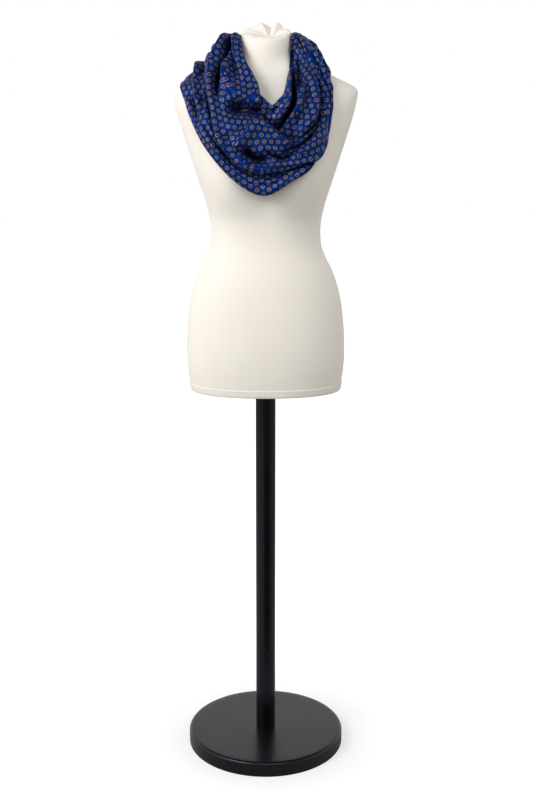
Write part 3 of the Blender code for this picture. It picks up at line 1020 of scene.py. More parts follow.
def track(points: Array, line: Array) -> tuple[Array, Array, Array]:
    """Find the nearest place on a line of points for each point.

    Args:
        points: the points, in any grid.
        line: the line's points.

    Returns:
        The distance, the number along the line with its fraction, and the nearest place.
    """
    flat = points.reshape(-1, 3)
    square = (flat**2).sum(1)[:, None] - 2 * flat @ line.T + (line**2).sum(1)
    first = square.argmin(1)
    distance = np.full(len(flat), np.inf)
    along = np.zeros(len(flat))
    nearest = np.zeros_like(flat)
    for step in (-1, 0):
        start = np.clip(first + step, 0, len(line) - 2)
        here, way = line[start], line[start + 1] - line[start]
        share = np.clip(((flat - here) * way).sum(1) / np.maximum((way**2).sum(1), 1e-18), 0.0, 1.0)
        place = here + share[:, None] * way
        away = np.linalg.norm(flat - place, axis=1)
        closer = away < distance
        distance = np.where(closer, away, distance)
        along = np.where(closer, start + share, along)
        nearest = np.where(closer[:, None], place, nearest)
    grid = points.shape[:-1]
    return distance.reshape(grid), along.reshape(grid), nearest.reshape(*grid, 3)


class FoldShape(Enum):
    """How sharp a fold's bottom or top is, as the power in its cross profile."""

    SOFT = 2.0
    FIRM = 1.5


@dataclass(frozen=True)
class Fold:
    """One long crease or ridge, laid through places on the drape, each an angle and a share.

    Its depth and its widths to either side are in millimetres, and a crease's depth is negative.
    """

    path: tuple[tuple[float, float], ...]
    depth: float
    neck_side: float
    outer_side: float
    shape: FoldShape = FoldShape.SOFT
    taper: float = 0.25

    def line(self, samples: int = 91) -> Array:
        """Place points along the fold.

        Args:
            samples: how many points.

        Returns:
            The points, in metres.
        """
        places = np.asarray(self.path)
        rows = smooth_rows(np.arange(len(places)), places, np.linspace(0.0, len(places) - 1, samples))
        return DRAPE.points(rows[:, 0], rows[:, 1])

    def height(self, points: Array, normals: Array) -> Array:
        """Return what the fold adds to the cloth's height.

        Args:
            points: points of the drape.
            normals: the drape's normals there.

        Returns:
            The height added, in metres.
        """
        line = self.line()
        away, place, nearest = track(points, line)
        ahead = np.gradient(line, axis=0)
        along = ahead[np.clip(np.round(place).astype(int), 0, len(line) - 1)]
        side = (np.cross(along, normals) * (points - nearest)).sum(axis=-1)
        side = side / np.maximum(np.linalg.norm(along, axis=-1), 1e-9)
        blend = eased(side / (0.6 * MM * min(self.neck_side, self.outer_side)) * 0.5 + 0.5)
        width = (self.neck_side * (1 - blend) + self.outer_side * blend) * MM
        share = place / (len(line) - 1)
        ends = eased(np.minimum(share, 1 - share) / self.taper)
        profile = np.exp(-((away**2 / width**2 + 0.0025) ** (self.shape.value / 2)))
        return self.depth * MM * ends * profile


FIRM = FoldShape.FIRM

# The sweep's folds from the left shoulder across the front and round the back. A steep side beside
# a gentle one makes a fold that laps over its neighbour.
SWEEP_FOLDS = (
    Fold(((-104, 0.05), (-68, 0.24), (-55, 0.45), (-43, 0.68)), -25, 6, 3.5, FIRM),
    Fold(((-104, 0.12), (-78, 0.25), (-64.5, 0.5), (-47, 0.68), (-38, 0.78)), 15, 8, 8),
    Fold(((-92, 0.02), (-60.5, 0.2), (-48.5, 0.48), (-38, 0.68)), 7.5, 9, 4.5),
    Fold(((-44, 0.72), (-40, 0.8), (-35, 0.845), (-22, 0.86)), 11.25, 8, 6),
    Fold(((-84, 0.1), (-60, 0.2), (-42, 0.3), (-25, 0.4)), -11.25, 3.5, 12, FIRM),
    Fold(((-84, 0.05), (-62, 0.15), (-44, 0.26), (-24, 0.37)), 3.125, 5, 6),
    Fold(((-60, 0.33), (-46, 0.45), (-32, 0.5), (-12, 0.455)), 8.75, 13, 6),
    Fold(((-38, 0.64), (-27, 0.545), (-15, 0.51), (4, 0.5)), -35, 4, 25, FIRM),
    Fold(((-5.5, 0.55), (-10, 0.62), (-16, 0.715), (-21, 0.79), (-22, 0.84)), 16.25, 13, 5, FIRM),
    Fold(((-37, 0.86), (-29, 0.77), (-21, 0.67), (-13, 0.59)), -6.25, 6, 4, FIRM),
    Fold(((-19, 0.79), (-13, 0.795), (-6, 0.81), (6, 0.8)), -25, 6, 10, FIRM),
    Fold(((-3, 0.755), (6, 0.795), (14.5, 0.835), (27, 0.815)), -13.75, 4, 5, FIRM),
    Fold(((-22, 0.865), (-8, 0.865), (6, 0.86), (20, 0.875)), 7.5, 5, 5),
    Fold(((-9, 0.555), (1, 0.635), (11, 0.715), (23, 0.81)), 11.25, 6, 12),
    Fold(((8, 0.815), (19, 0.8), (29, 0.81), (44, 0.79)), -12.5, 4, 5, FIRM),
    Fold(((20, 0.85), (28, 0.865), (37, 0.87), (46, 0.85)), 5, 6, 5),
    Fold(((24, 0.785), (42, 0.79), (54, 0.66), (68, 0.28)), -8.75, 7, 6, FIRM),
    Fold(((48, 0.92), (57, 0.76), (61, 0.56), (71, 0.27)), 7.5, 6, 5),
    Fold(((47, 1), (59, 0.82), (64.5, 0.6), (73, 0.3)), -16.25, 5, 3.5, FIRM),
    Fold(((56, 0.96), (65, 0.78), (70, 0.56), (82, 0.28)), 7.5, 5, 6),
    Fold(((61, 0.99), (72, 0.8), (77, 0.58), (90, 0.3)), -12.5, 5, 4, FIRM),
    Fold(((70, 0.95), (79, 0.76), (85, 0.56), (100, 0.34)), 6.25, 6, 6),
    Fold(((78, 0.96), (87, 0.74), (95, 0.54), (120, 0.42)), -10, 7, 5, FIRM),
    Fold(((96, 0.24), (130, 0.24), (165, 0.27), (195, 0.28)), -10, 10, 5, FIRM),
    Fold(((100, 0.6), (130, 0.5), (165, 0.5), (215, 0.42)), -10, 10, 6, FIRM),
    Fold(((185, 0.26), (210, 0.22), (235, 0.18), (262, 0.08)), -10, 10, 6, FIRM),
    Fold(((106, 0.12), (140, 0.13), (165, 0.15), (195, 0.14)), -6.25, 6, 4, FIRM),
    Fold(((112, 0.36), (140, 0.37), (168, 0.39), (205, 0.34)), -6.25, 6, 4, FIRM),
    Fold(((105, 0.78), (130, 0.66), (158, 0.61), (190, 0.6)), -6.25, 7, 5, FIRM),
    Fold(((170, 0.46), (200, 0.4), (232, 0.33), (258, 0.24)), -7.5, 7, 5, FIRM),
    Fold(((200, 0.52), (225, 0.44), (245, 0.37), (262, 0.33)), -6.25, 6, 5, FIRM),
    Fold(((180, 0.08), (205, 0.07), (228, 0.06), (250, 0.05)), -3.75, 5, 5, FIRM),
)
STRAND_FOLDS = (
    Fold(
        ((6, 0.65), (20.5, 0.58), (26, 0.54), (29, 0.44), (39.5, 0.265), (58, 0.12)),
        -22.5, 3.5, 3, FIRM, 0.1,
    ),
    Fold(((62, 0.2), (48, 0.32), (39.5, 0.395), (32, 0.46)), -16.25, 7, 9, FIRM),
    Fold(((0, 0.545), (13, 0.49), (21, 0.4), (30, 0.26)), -7.5, 5, 4, FIRM),
    Fold(((5, 0.6), (17, 0.55), (25, 0.48), (27.5, 0.375), (39, 0.215)), 11.25, 4.5, 4, taper=0.12),
    Fold(
        ((15, 0.635), (22, 0.6), (30, 0.55), (33, 0.48), (40, 0.46), (56, 0.43)),
        13.75, 3.5, 11, taper=0.35,
    ),
    Fold(((2, 0.505), (14, 0.485), (21, 0.41), (30, 0.32)), 4.375, 3.5, 3.5),
    Fold(((28, 0.31), (40, 0.23), (52, 0.15), (72, 0.06)), -10, 4, 4, FIRM),
    Fold(((-16, 0.49), (4, 0.6), (16, 0.71), (34, 0.82)), -25, 26, 10, FIRM),
    Fold(((22, 0.77), (36, 0.73), (46, 0.63), (56, 0.38)), 10, 12, 5),
    Fold(((22, 0.72), (32, 0.62), (40, 0.52), (49, 0.4)), -5, 5, 6),
)
FALL_FOLDS = (
    Fold(((-80, 0.61), (-63, 0.7), (-51.5, 0.745), (-43, 0.8), (-36, 0.875)), -16.25, 5, 4.5, FIRM, 0.15),
    Fold(((-40, 0.83), (-27, 0.905), (-13, 0.91), (4, 0.91), (24, 0.945)), -10, 5, 4, FIRM, 0.15),
    Fold(((-114, 0.56), (-84, 0.645), (-71, 0.75), (-48, 0.86)), -17.5, 8, 3.5, FIRM),
    Fold(((-112, 0.64), (-86, 0.71), (-73, 0.8), (-54, 0.89)), 7.5, 5, 6),
    Fold(((-110, 0.76), (-83, 0.81), (-68, 0.88), (-46, 0.95)), -11.25, 7, 4, FIRM),
    Fold(((-60, 0.9), (-42, 0.92), (-28, 0.94), (-12, 0.94)), 5.625, 8, 8),
    Fold(((-52, 0.86), (-43, 0.885), (-34, 0.9), (-24, 0.915)), -5, 4.5, 4.5, FIRM),
    Fold(((-36, 0.92), (-28, 0.93), (-22, 0.95), (-16, 0.98)), -5, 4.5, 4.5, FIRM),
    Fold(((-14, 0.945), (0, 0.95), (14, 0.955), (28, 0.97)), -3, 6, 6),
    Fold(((120, 0.9), (150, 0.86), (180, 0.89), (215, 0.86)), -8.75, 9, 5, FIRM),
    Fold(((205, 0.75), (225, 0.73), (240, 0.68), (262, 0.62)), -10, 9, 5, FIRM),
    Fold(((190, 0.94), (215, 0.92), (240, 0.86), (262, 0.8)), -6.25, 6, 4, FIRM),
    Fold(((140, 0.78), (165, 0.76), (190, 0.78), (212, 0.8)), -5, 7, 5),
)


@dataclass
class Turn:
    """One run of the loop over the drape: its two edges, its folds and how low it lies.

    Its depth is how far it lies below the drape, and its gap how far below the run above it.
    """

    edges: tuple[tuple[float, float, float], ...]
    folds: tuple[Fold, ...]
    depth: float
    gap: float
    span: tuple[float, float]
    near_roll: float = 0.005
    outer_roll: float = 0.007
    neck_to_fold: float = 0.100

    def edges_at(self, angles: Array) -> tuple[Array, Array]:
        """Read the shares of the turn's two edges at each angle.

        Args:
            angles: angles round the neck.

        Returns:
            The shares of the edge nearer the neck and of the outer edge.
        """
        table = np.asarray(self.edges)
        period = 360.0 if table[0, 0] == -180.0 else None
        shares = smooth_rows(table[:, 0], table[:, 1:], angles, period)
        return np.clip(shares[..., 0], 0.0, 1.0), np.clip(shares[..., 1], 0.0, 1.0)

    def edge_line(self, side: int, samples: int = 901) -> Array:
        """Place points along the near edge (0) or the outer edge (1).

        Args:
            side: which edge.
            samples: how many points.

        Returns:
            The points, in metres.
        """
        first = self.edges[0][0]
        last = first + 360.0 if first == -180.0 else self.edges[-1][0]
        angles = np.linspace(first, last, samples)
        return DRAPE.points(angles, self.edges_at(angles)[side])

    def wished(self, angles: Array, shares: Array) -> Array:
        """Return the turn's height with nothing above or below it.

        Args:
            angles: angles round the neck.
            shares: shares down the drape.

        Returns:
            The heights off the drape, in metres.
        """
        points = DRAPE.points(angles, shares)
        normals, _ = DRAPE.frame(angles, shares)
        height = np.full(np.shape(shares), -self.depth)
        for fold in self.folds:
            height = height + fold.height(points, normals)
        for side, radius in ((0, self.near_roll), (1, self.outer_roll)):
            distance = track(points, self.edge_line(side))[0]
            inside = np.clip(1.0 - distance / radius, 0.0, 1.0)
            height = height - radius * (1.0 - np.sqrt(1.0 - inside**2))
        return height

    def beside(self, angles: Array, shares: Array) -> tuple[Array, Array]:
        """Find the nearest share inside the turn, and the distance to it.

        Args:
            angles: angles round the neck.
            shares: shares down the drape.

        Returns:
            The nearest shares, and the distances in metres.
        """
        near, far = self.edges_at(angles)
        inside = np.clip(shares, near, far)
        _, scale = DRAPE.frame(angles, shares)
        distance = np.abs(shares - inside) * scale
        first, last = self.span
        turned = (angles - first) % 360.0
        over = np.minimum(turned - last + first, 360.0 - turned)
        past = np.where(turned > last - first, over, 0.0)
        return inside, distance + np.radians(past) * self.neck_to_fold


@dataclass
class Wrap:
    """The three runs of the loop in their order, off the form and clear of each other."""

    form: BVHTree
    sweep: Turn
    strand: Turn
    fall: Turn
    thickness: float = 0.0009
    clearance: float = 0.0014
    slope: float = 1.4
    easing: float = 0.002
    reach: float = 0.060

    def greater(self, first: Array, second: Array) -> Array:
        """Return the greater of two heights, eased over where they cross."""
        return (first + second + np.sqrt((first - second) ** 2 + self.easing**2)) / 2

    def lesser(self, first: Array, second: Array) -> Array:
        """Return the lesser of two heights, eased over where they cross."""
        return (first + second - np.sqrt((first - second) ** 2 + self.easing**2)) / 2

    def floor(self, angles: Array, shares: Array) -> Array:
        """Return the lowest height at which cloth is clear of the form.

        Args:
            angles: angles round the neck.
            shares: shares down the drape.

        Returns:
            The heights off the drape, in metres.
        """
        points = DRAPE.points(angles, shares)
        normals, _ = DRAPE.frame(angles, shares)
        floor = np.full(np.shape(shares), -self.reach)
        starts = points + self.reach * normals
        for place in np.ndindex(floor.shape):
            hit = self.form.ray_cast(Vector(starts[place]), Vector(-normals[place]), 2 * self.reach)[3]
            if hit is not None:
                floor[place] = self.reach - hit + self.clearance + self.thickness
        return floor

    def lower(self, turn: Turn, angles: Array, shares: Array) -> Array:
        """Work out the settled height of the strand or the fall.

        Args:
            turn: the strand or the fall.
            angles: angles round the neck.
            shares: shares down the drape.

        Returns:
            The heights off the drape, in metres.
        """
        inside, distance = self.sweep.beside(angles, shares)
        ceiling = self.sweep.wished(angles, inside) - turn.gap + self.slope * distance
        height = self.lesser(turn.wished(angles, shares), ceiling)
        return self.greater(height, self.floor(angles, shares))

    def settled(self, turn: Turn, angles: Array, shares: Array) -> Array:
        """Return the settled height of any turn.

        Args:
            turn: the turn.
            angles: angles round the neck.
            shares: shares down the drape.

        Returns:
            The heights off the drape, in metres.
        """
        if turn is not self.sweep:
            return self.lower(turn, angles, shares)
        height = self.greater(turn.wished(angles, shares), self.floor(angles, shares))
        for under in (self.strand, self.fall):
            inside, distance = under.beside(angles, shares)
            support = self.lower(under, angles, inside) + under.gap
            height = self.greater(height, support - self.slope * distance)
        return height


# ---------------------------------------------------------------- cloth


def relax(flat: Array, lengths: Sequence[Array], rounds: int) -> Array:
    """Ease a flat grid towards given lengths along its rows, columns and diagonals.

    Args:
        flat: the flat grid of places, rows by columns by 2.
        lengths: the wished lengths along rows, columns and the two diagonals.
        rounds: how many times to ease.

    Returns:
        The eased grid.
    """
    here = (slice(None, -1), slice(None)), (slice(None), slice(None, -1))
    there = (slice(1, None), slice(None)), (slice(None), slice(1, None))
    starts = (here[0], here[1], (slice(None, -1), slice(None, -1)), (slice(1, None), slice(None, -1)))
    ends = (there[0], there[1], (slice(1, None), slice(1, None)), (slice(None, -1), slice(1, None)))
    flat = flat.copy()
    for _ in range(rounds):
        push = np.zeros_like(flat)
        count = np.zeros(flat.shape[:2])
        for start, end, wished in zip(starts, ends, lengths):
            way = flat[end] - flat[start]
            length = np.maximum(np.linalg.norm(way, axis=-1), 1e-9)
            move = way * ((length - wished) / length / 2)[..., None]
            push[start] += move
            push[end] -= move
            count[start] += 1
            count[end] += 1
        flat += 1.6 * push / count[..., None]
    return flat


def flatten(points: Array) -> Array:
    """Lay a curved grid of cloth flat with as little stretch as can be.

    Args:
        points: the cloth's points, stations by lanes by 3.

    Returns:
        The flat places in metres, stations by lanes by 2.
    """
    along = np.linalg.norm(np.diff(points, axis=0), axis=-1)
    across = np.linalg.norm(np.diff(points, axis=1), axis=-1)
    flat = None
    for stride, rounds in ((8, 2500), (4, 900), (2, 300), (1, 100)):
        rows = np.unique(np.append(np.arange(0, points.shape[0], stride), points.shape[0] - 1))
        columns = np.unique(np.append(np.arange(0, points.shape[1], stride), points.shape[1] - 1))
        coarse = points[rows][:, columns]
        run_along = np.concatenate([np.zeros((1, along.shape[1])), along.cumsum(axis=0)])
        run_across = np.concatenate([np.zeros((across.shape[0], 1)), across.cumsum(axis=1)], axis=1)
        down = np.diff(run_along[rows][:, columns], axis=0)
        over = np.diff(run_across[rows][:, columns], axis=1)
        way_down, way_over = np.diff(coarse, axis=0)[:, :-1], np.diff(coarse, axis=1)[:-1]
        cosine = (way_down * way_over).sum(-1) / np.maximum(
            np.linalg.norm(way_down, axis=-1) * np.linalg.norm(way_over, axis=-1), 1e-12
        )
        mean_down, mean_over = (down[:, :-1] + down[:, 1:]) / 2, (over[:-1] + over[1:]) / 2
        both, crossed = mean_down**2 + mean_over**2, 2 * mean_down * mean_over * cosine
        lengths = (down, over, np.sqrt(both + crossed), np.sqrt(np.maximum(both - crossed, 1e-12)))
        if flat is None:
            flat = first_lay(coarse, down, over)
        else:
            flat = resample(flat, old_rows, old_columns, rows, columns)
        flat = relax(flat, lengths, rounds)
        old_rows, old_columns = rows, columns
    return flat


def first_lay(points: Array, down: Array, over: Array) -> Array:
    """Lay a coarse grid roughly flat as a bent, slanted strip.

    Args:
        points: the coarse grid of points, stations by lanes by 3.
        down: lengths from each station to the next, by lane.
        over: lengths from each lane to the next, by station.

    Returns:
        The flat places.
    """
    wide = over.sum(axis=1)
    middle = points.shape[1] // 2
    ahead = np.gradient(points[:, middle], axis=0)
    across = points[:, -1] - points[:, 0]
    slant = (ahead * across).sum(1) / (np.linalg.norm(ahead, axis=1) * np.linalg.norm(across, axis=1))
    slant = np.arccos(np.clip(slant, -0.9, 0.9))
    mean_slant, mean_wide = (slant[1:] + slant[:-1]) / 2, (wide[1:] + wide[:-1]) / 2
    longer = down[:, -1] - down[:, 0] - np.diff(wide) * np.cos(mean_slant)
    turn = np.concatenate([[0.0], (longer / (mean_wide * np.sin(mean_slant))).cumsum()])
    heading = ((turn + slant)[1:] + (turn + slant)[:-1]) / 2
    steps = down[:, middle][:, None] * np.stack([np.cos(heading), np.sin(heading)], axis=-1)
    centre = np.concatenate([[[0.0, 0.0]], steps.cumsum(axis=0)])
    reach = np.concatenate([np.zeros((len(over), 1)), over.cumsum(axis=1)], axis=1)
    reach = reach - reach[:, [middle]]
    outward = np.stack([np.cos(turn), np.sin(turn)], axis=-1)
    return centre[:, None] + reach[..., None] * outward[:, None]


def resample(flat: Array, rows: Array, columns: Array, new_rows: Array, new_columns: Array) -> Array:
    """Read a flat grid at new rows and columns.

    Args:
        flat: the flat grid.
        rows: the number of each of its rows on the finest grid.
        columns: the number of each of its columns on the finest grid.
        new_rows: the rows wanted.
        new_columns: the columns wanted.

    Returns:
        The finer flat grid.
    """
    taller = np.stack(
        [[np.interp(new_rows, rows, flat[:, c, k]) for c in range(len(columns))] for k in (0, 1)]
    )
    wider = [[np.interp(new_columns, columns, taller[k][:, r]) for r in range(len(new_rows))] for k in (0, 1)]
    return np.stack(wider, axis=-1)


@dataclass
class Stretch:
    """One continuous run of printed satin with its hems."""

    name: str
    nodes: tuple[str, ...]
    turn: Turn
    first: float
    last: float
    stations: int
    lanes: int
    cut: tuple[float, float]
    closed: bool = False
    hem_width: float = 0.0045
    hem_rise: float = 0.0005
    stitch_inset: float = 0.0038
    stitch_rise: float = 0.00012
    wall: float = 0.0009
    crowding: float = 0.5
    points: Array = field(init=False)
    normals: Array = field(init=False)

    def grid(self) -> tuple[Array, Array]:
        """Work out the angles and shares of the stretch's grid.

        Returns:
            The angles and the shares, stations by lanes.
        """
        count = self.stations
        outer = np.linspace(self.first, self.last, count, endpoint=not self.closed)
        inner = outer
        if self.closed:
            skew = np.asarray(SWEEP_SKEW)
            front = (outer + 180.0) % 360.0 - 180.0
            shifted = smooth_rows(skew[:, 0], skew[:, 1:], front)[:, 0] - front
            inner = outer + np.where(np.abs(front) <= skew[-1, 0], shifted, 0.0)
        lane = np.linspace(0.0, 1.0, self.lanes)
        lane = (1 - self.crowding) * lane + self.crowding * (1 - np.cos(np.pi * lane)) / 2
        near, far = self.turn.edges_at(inner)[0], self.turn.edges_at(outer)[1]
        angles = inner[:, None] * (1 - lane) + outer[:, None] * lane
        return angles, near[:, None] * (1 - lane) + far[:, None] * lane

    def ripple(self, angles: Array, shares: Array) -> Array:
        """Work out the cloth's small unevenness: faint creases that run along its length.

        Args:
            angles: angles round the neck.
            shares: shares down the drape.

        Returns:
            The heights to add, in metres.
        """
        near, far = self.turn.edges_at(angles)
        lane = np.clip((shares - near) / np.maximum(far - near, 0.05), 0.0, 1.0)
        turn = np.radians(angles)
        calm = eased(lane / 0.15) * eased((1 - lane) / 0.12)
        first = np.sin(2 * np.pi * (5.3 * lane + 0.55 * np.sin(1.7 * turn + 0.4)) + 1.1)
        second = np.sin(2 * np.pi * (8.7 * lane - 0.50 * np.sin(2.3 * turn + 1.9)) + 0.3)
        cross = np.sin(9.0 * turn + 4.0 * lane) * np.sin(2 * np.pi * 3.1 * lane + 2.0 * np.sin(3 * turn))
        swell = 0.5 + 0.5 * np.sin(2.6 * turn + 3.0 * lane)
        return MM * calm * (0.55 * swell * first + 0.40 * (1 - swell) * second + 0.30 * cross)

    def place(self, wrap: Wrap) -> None:
        """Work out the cloth's outer points.

        Args:
            wrap: the settled order of the turns.
        """
        angles, shares = self.grid()
        height = wrap.settled(self.turn, angles, shares)
        ripple = self.ripple(angles, shares)
        drape = DRAPE.points(angles, shares)
        away = track(drape, self.turn.edge_line(1))[0]
        self.normals, _ = DRAPE.frame(angles, shares)
        height = height + np.clip(ripple, -0.0008, 0.0008)
        height = height + self.hem_rise * eased((self.hem_width - away) / 0.0012)
        self.points = drape + height[..., None] * self.normals

    def build_cloth(self, satin: Material) -> Object:
        """Return the cloth as a thin wall with the print's flat places on it.

        Args:
            satin: the printed satin.

        Returns:
            The cloth.
        """
        piece = grid_object(self.name, self.points[:, ::-1], round_rows=self.closed)
        looped = np.concatenate([self.points, self.points[:1]]) if self.closed else self.points
        flat = flatten(looped)[:, ::-1]
        LOG.info("%s: runs %.3f m, %.3f m wide", self.name, *self.measure(looped))
        corners = np.stack([flat[:-1, :-1], flat[:-1, 1:], flat[1:, 1:], flat[1:, :-1]], axis=2)
        piece.data.uv_layers.new(name="cloth").data.foreach_set("uv", corners.ravel())
        dress(piece, satin)
        shell = piece.modifiers.new("cloth wall", "SOLIDIFY")
        shell.thickness = self.wall
        shell.offset = -1.0
        return evaluated_copy(piece)

    def measure(self, points: Array) -> tuple[float, float]:
        """Measure the stretch's mean length and mean width.

        Args:
            points: the cloth's points, stations by lanes by 3.

        Returns:
            The length and the width, in metres.
        """
        length = np.linalg.norm(np.diff(points, axis=0), axis=-1).sum(axis=0).mean()
        width = np.linalg.norm(np.diff(points, axis=1), axis=-1).sum(axis=1).mean()
        return float(length), float(width)

    def stitch_line(self) -> Array:
        """Work out the line of the hem's stitches, just inside the outer edge.

        Returns:
            The line's points.
        """
        line = []
        for row, normals in zip(self.points[:, ::-1], self.normals[:, ::-1]):
            run = np.concatenate([[0.0], np.linalg.norm(np.diff(row, axis=0), axis=-1).cumsum()])
            place, normal = (
                np.array([np.interp(self.stitch_inset, run, values[:, k]) for k in range(3)])
                for values in (row, normals)
            )
            line.append(place + normal * self.stitch_rise)
        return np.array(line)

    def build(self, wrap: Wrap, satin: Material, thread: Material, rests_on: list) -> None:
        """Build the cloth and its hem stitches and hand them to the frame.

        Args:
            wrap: the settled order of the turns.
            satin: the printed satin.
            thread: the hem's thread.
            rests_on: the names of what the cloth lies on; not used.
        """
        self.place(wrap)
        cloth = self.build_cloth(satin)
        row = StitchRow(
            self.name + "_hem_stitches",
            self.stitch_line(),
            self.closed,
            pitch=0.0030,
            length=0.0021,
            radius=0.00022,
            material=thread,
        )
        stitches = row.build()
        for piece in (cloth, stitches):
            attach(piece, "root")
        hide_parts(*self.nodes)
        LOG.info("%s: %d faces", cloth.name, len(cloth.data.polygons))


@dataclass
class Scarf:
    """The loop, wound twice: the fall, the strand over it and the sweep on top."""

    fall_front_end: float = 46.0
    fall_back_end: float = 116.0

    def turns(self) -> tuple[Turn, Turn, Turn]:
        """Set up the sweep, the strand and the fall.

        Returns:
            The three turns.
        """
        strand_span = (STRAND_EDGES[0][0], STRAND_EDGES[-1][0])
        fall_span = (self.fall_back_end, self.fall_front_end + 360.0)
        sweep = Turn(SWEEP_EDGES, SWEEP_FOLDS, depth=0.0, gap=0.0, span=(-180.0, 180.0))
        strand = Turn(STRAND_EDGES, STRAND_FOLDS, depth=0.004, gap=0.0052, span=strand_span)
        fall = Turn(FALL_EDGES, FALL_FOLDS, depth=0.003, gap=0.0074, span=fall_span)
        return sweep, strand, fall

    def build(self, cover: Object, satin: Material, thread: Material) -> None:
        """Build the three runs of cloth.

        Args:
            cover: the form's cover, which the cloth lies on.
            satin: the printed satin.
            thread: the hems' thread.
        """
        sweep, strand, fall = self.turns()
        tree = BVHTree.FromPolygons(
            [vertex.co.copy() for vertex in cover.data.vertices],
            [tuple(polygon.vertices) for polygon in cover.data.polygons],
        )
        wrap = Wrap(tree, sweep, strand, fall)
        fall_nodes = ("scarf_front_fall", "scarf_back_lower_cowl")
        strand_nodes = ("scarf_under_strand",)
        sweep_nodes = ("scarf_front_sweep", "scarf_back_upper_cowl")
        runs = (
            Stretch("scarf_fall", fall_nodes, fall, *fall.span, 360, 46, cut=(0.10, 0.86)),
            Stretch("scarf_strand", strand_nodes, strand, *strand.span, 190, 70, cut=(0.09, 0.36)),
            Stretch("scarf_sweep", sweep_nodes, sweep, *sweep.span, 440, 104, cut=(0.12, 0.94), closed=True),
        )
        for run in runs:
            run.build(wrap, satin, thread, ["form_cover"])


# ---------------------------------------------------------------- studio


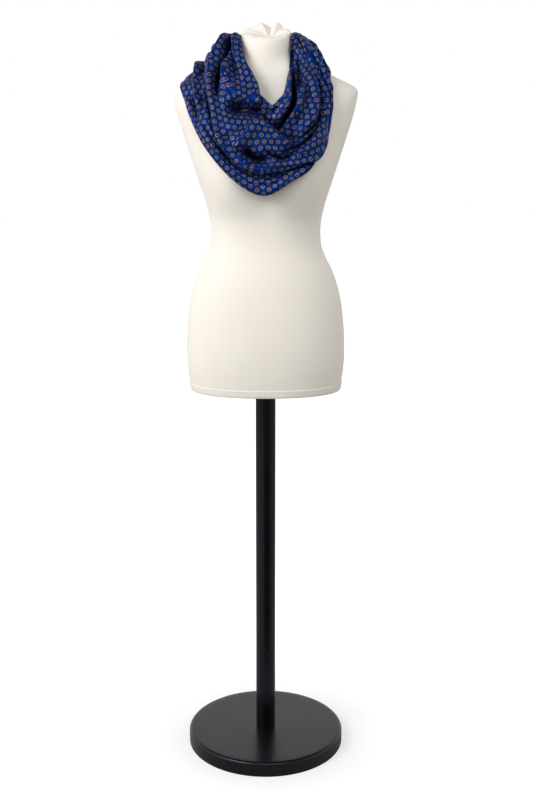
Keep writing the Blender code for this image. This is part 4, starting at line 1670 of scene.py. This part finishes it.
@dataclass
class Studio:
    """The plain pale floor, the soft lights and the camera."""

    camera_place: tuple[float, float, float] = (0.0018, -2.493, 1.3607)
    camera_pitch: float = 13.13
    focal_px: float = 1216.3
    picture_height_px: float = 800.0
    sensor_mm: float = 36.0
    floor_radius: float = 14.0
    floor_glow: tuple[float, float] = (0.57, 1.05)
    floor_glow_reach: tuple[float, float] = (0.18, 0.60)
    room_in_front: float = 0.26
    room_behind: float = 1.34
    light_aim: tuple[float, float, float] = (0.0, 0.0, 1.15)
    flag_turn: tuple[float, float] = (-20.0, 52.0)
    flag_reach: tuple[float, float] = (0.45, 3.2)

    def build_camera(self) -> None:
        """Place the camera at the photograph's view."""
        data = bpy.data.cameras.new("view")
        data.sensor_fit = "VERTICAL"
        data.sensor_height = self.sensor_mm
        data.lens = self.focal_px / self.picture_height_px * self.sensor_mm
        camera = bpy.data.objects.new("view", data)
        camera.location = self.camera_place
        camera.rotation_euler = (math.radians(90.0 - self.camera_pitch), 0.0, 0.0)
        bpy.context.scene.collection.objects.link(camera)
        bpy.context.scene.camera = camera

    def build_light(self, name: str, place: tuple, size: tuple, power: float) -> None:
        """Hang one soft box.

        Args:
            name: the light's name.
            place: where it hangs.
            size: its width and height.
            power: its power in watts.
        """
        data = bpy.data.lights.new(name, "AREA")
        data.shape = "RECTANGLE"
        data.size, data.size_y = size
        data.energy = power
        light = bpy.data.objects.new(name, data)
        light.location = place
        light.rotation_euler = (Vector(self.light_aim) - Vector(place)).to_track_quat("-Z", "Y").to_euler()
        bpy.context.scene.collection.objects.link(light)

    def build_floor(self) -> None:
        """Lay the pale floor, with a painted glow that the camera alone sees, weaker near the stand and
        brightening away from it like a lit paper roll.
        """
        bpy.ops.mesh.primitive_circle_add(vertices=128, radius=self.floor_radius, fill_type="NGON")
        floor = bpy.context.object
        floor.name = "studio_floor"
        grey, white = (0.5, 0.5, 0.5, 1.0), (1.0, 1.0, 1.0, 1.0)
        matt = {"Base Color": grey, "Roughness": 0.9, "Specular IOR Level": 0.0, "Emission Color": white}
        material, tree, shader = new_material("white_paper", matt)
        place = add_node(tree, "ShaderNodeTexCoord").outputs["Object"]
        reach = add_node(tree, "ShaderNodeVectorMath", {0: place}, operation="LENGTH").outputs["Value"]
        painted_glow = map_range(tree, reach, self.floor_glow_reach, self.floor_glow, "SMOOTHSTEP")
        seen = add_node(tree, "ShaderNodeLightPath").outputs["Is Camera Ray"]
        # Painted light: the glow reaches camera rays only and grows with distance from the stand.
        tree.links.new(math_node(tree, "MULTIPLY", painted_glow, seen), shader.inputs["Emission Strength"])
        dress(floor, material)

    def build_flag(self) -> None:
        """Lay a black card before the stand, out of the picture, which darkens the pole's middle."""
        inner, outer = self.flag_reach
        turns = np.radians(np.linspace(*self.flag_turn, 25))
        rim = np.stack([np.sin(turns), -np.cos(turns), np.full_like(turns, 0.001)], axis=-1)
        card = grid_object("studio_flag", np.stack([rim * (inner, inner, 1.0), rim * (outer, outer, 1.0)]))
        dress(card, new_material("black_card", {"Base Color": (0.01, 0.01, 0.01, 1.0)})[0])
        card.visible_camera = False
        card.visible_shadow = False

    def build_world(self) -> None:
        """Set the room's light, dim in front and bright behind, and the white seen behind the form."""
        world = bpy.data.worlds.new("room")
        bpy.context.scene.world = world
        world.use_nodes = True
        tree = world.node_tree
        tree.nodes.clear()
        seen = add_node(tree, "ShaderNodeLightPath").outputs["Is Camera Ray"]
        way = add_node(tree, "ShaderNodeTexCoord").outputs["Generated"]
        _, y, z = add_node(tree, "ShaderNodeSeparateXYZ", {0: way}).outputs
        level = map_range(tree, y, (-1.0, -0.35), (self.room_in_front, self.room_behind), "SMOOTHSTEP")
        overhead = map_range(tree, z, (0.25, 0.9), (1.0, 0.05))
        glow = math_node(tree, "MULTIPLY", level, overhead)
        room = add_node(tree, "ShaderNodeBackground", {"Color": linear("FFFDF9"), "Strength": glow})
        white = add_node(tree, "ShaderNodeBackground", {"Color": (1.0, 1.0, 1.0, 1.0), "Strength": 1.0})
        mixed = add_node(tree, "ShaderNodeMixShader", {0: seen, 1: room.outputs[0], 2: white.outputs[0]})
        add_node(tree, "ShaderNodeOutputWorld", {0: mixed.outputs[0]})

    def build(self) -> None:
        """Build the camera, the floor, the card and the lights."""
        self.build_camera()
        self.build_floor()
        self.build_flag()
        self.build_world()
        self.build_light("key", (-1.97, -1.80, 2.51), (2.1, 1.5), 45.0)
        self.build_light("key_tube", (-1.93, -1.76, 2.48), (2.1, 0.07), 14.0)
        self.build_light("fill", (0.45, -2.56, 2.65), (2.0, 1.5), 25.0)
        view = bpy.context.scene.view_settings
        view.view_transform = "Standard"
        view.look = "None"


# ---------------------------------------------------------------- the whole


def main() -> None:
    """Build the studio, the stand, the form and the scarf."""
    logging.basicConfig(level=logging.INFO, format="%(message)s")
    Studio().build()
    Stand().build(SatinPaint().material())
    jersey = CoverJersey().material()
    cover = DressForm().build(jersey, SewingThread("cover_thread", "EFEAE2").material())
    Scarf().build(cover, PrintedSatin().material(), SewingThread("scarf_thread", "15348F").material())


if __name__ == "__main__":
    main()
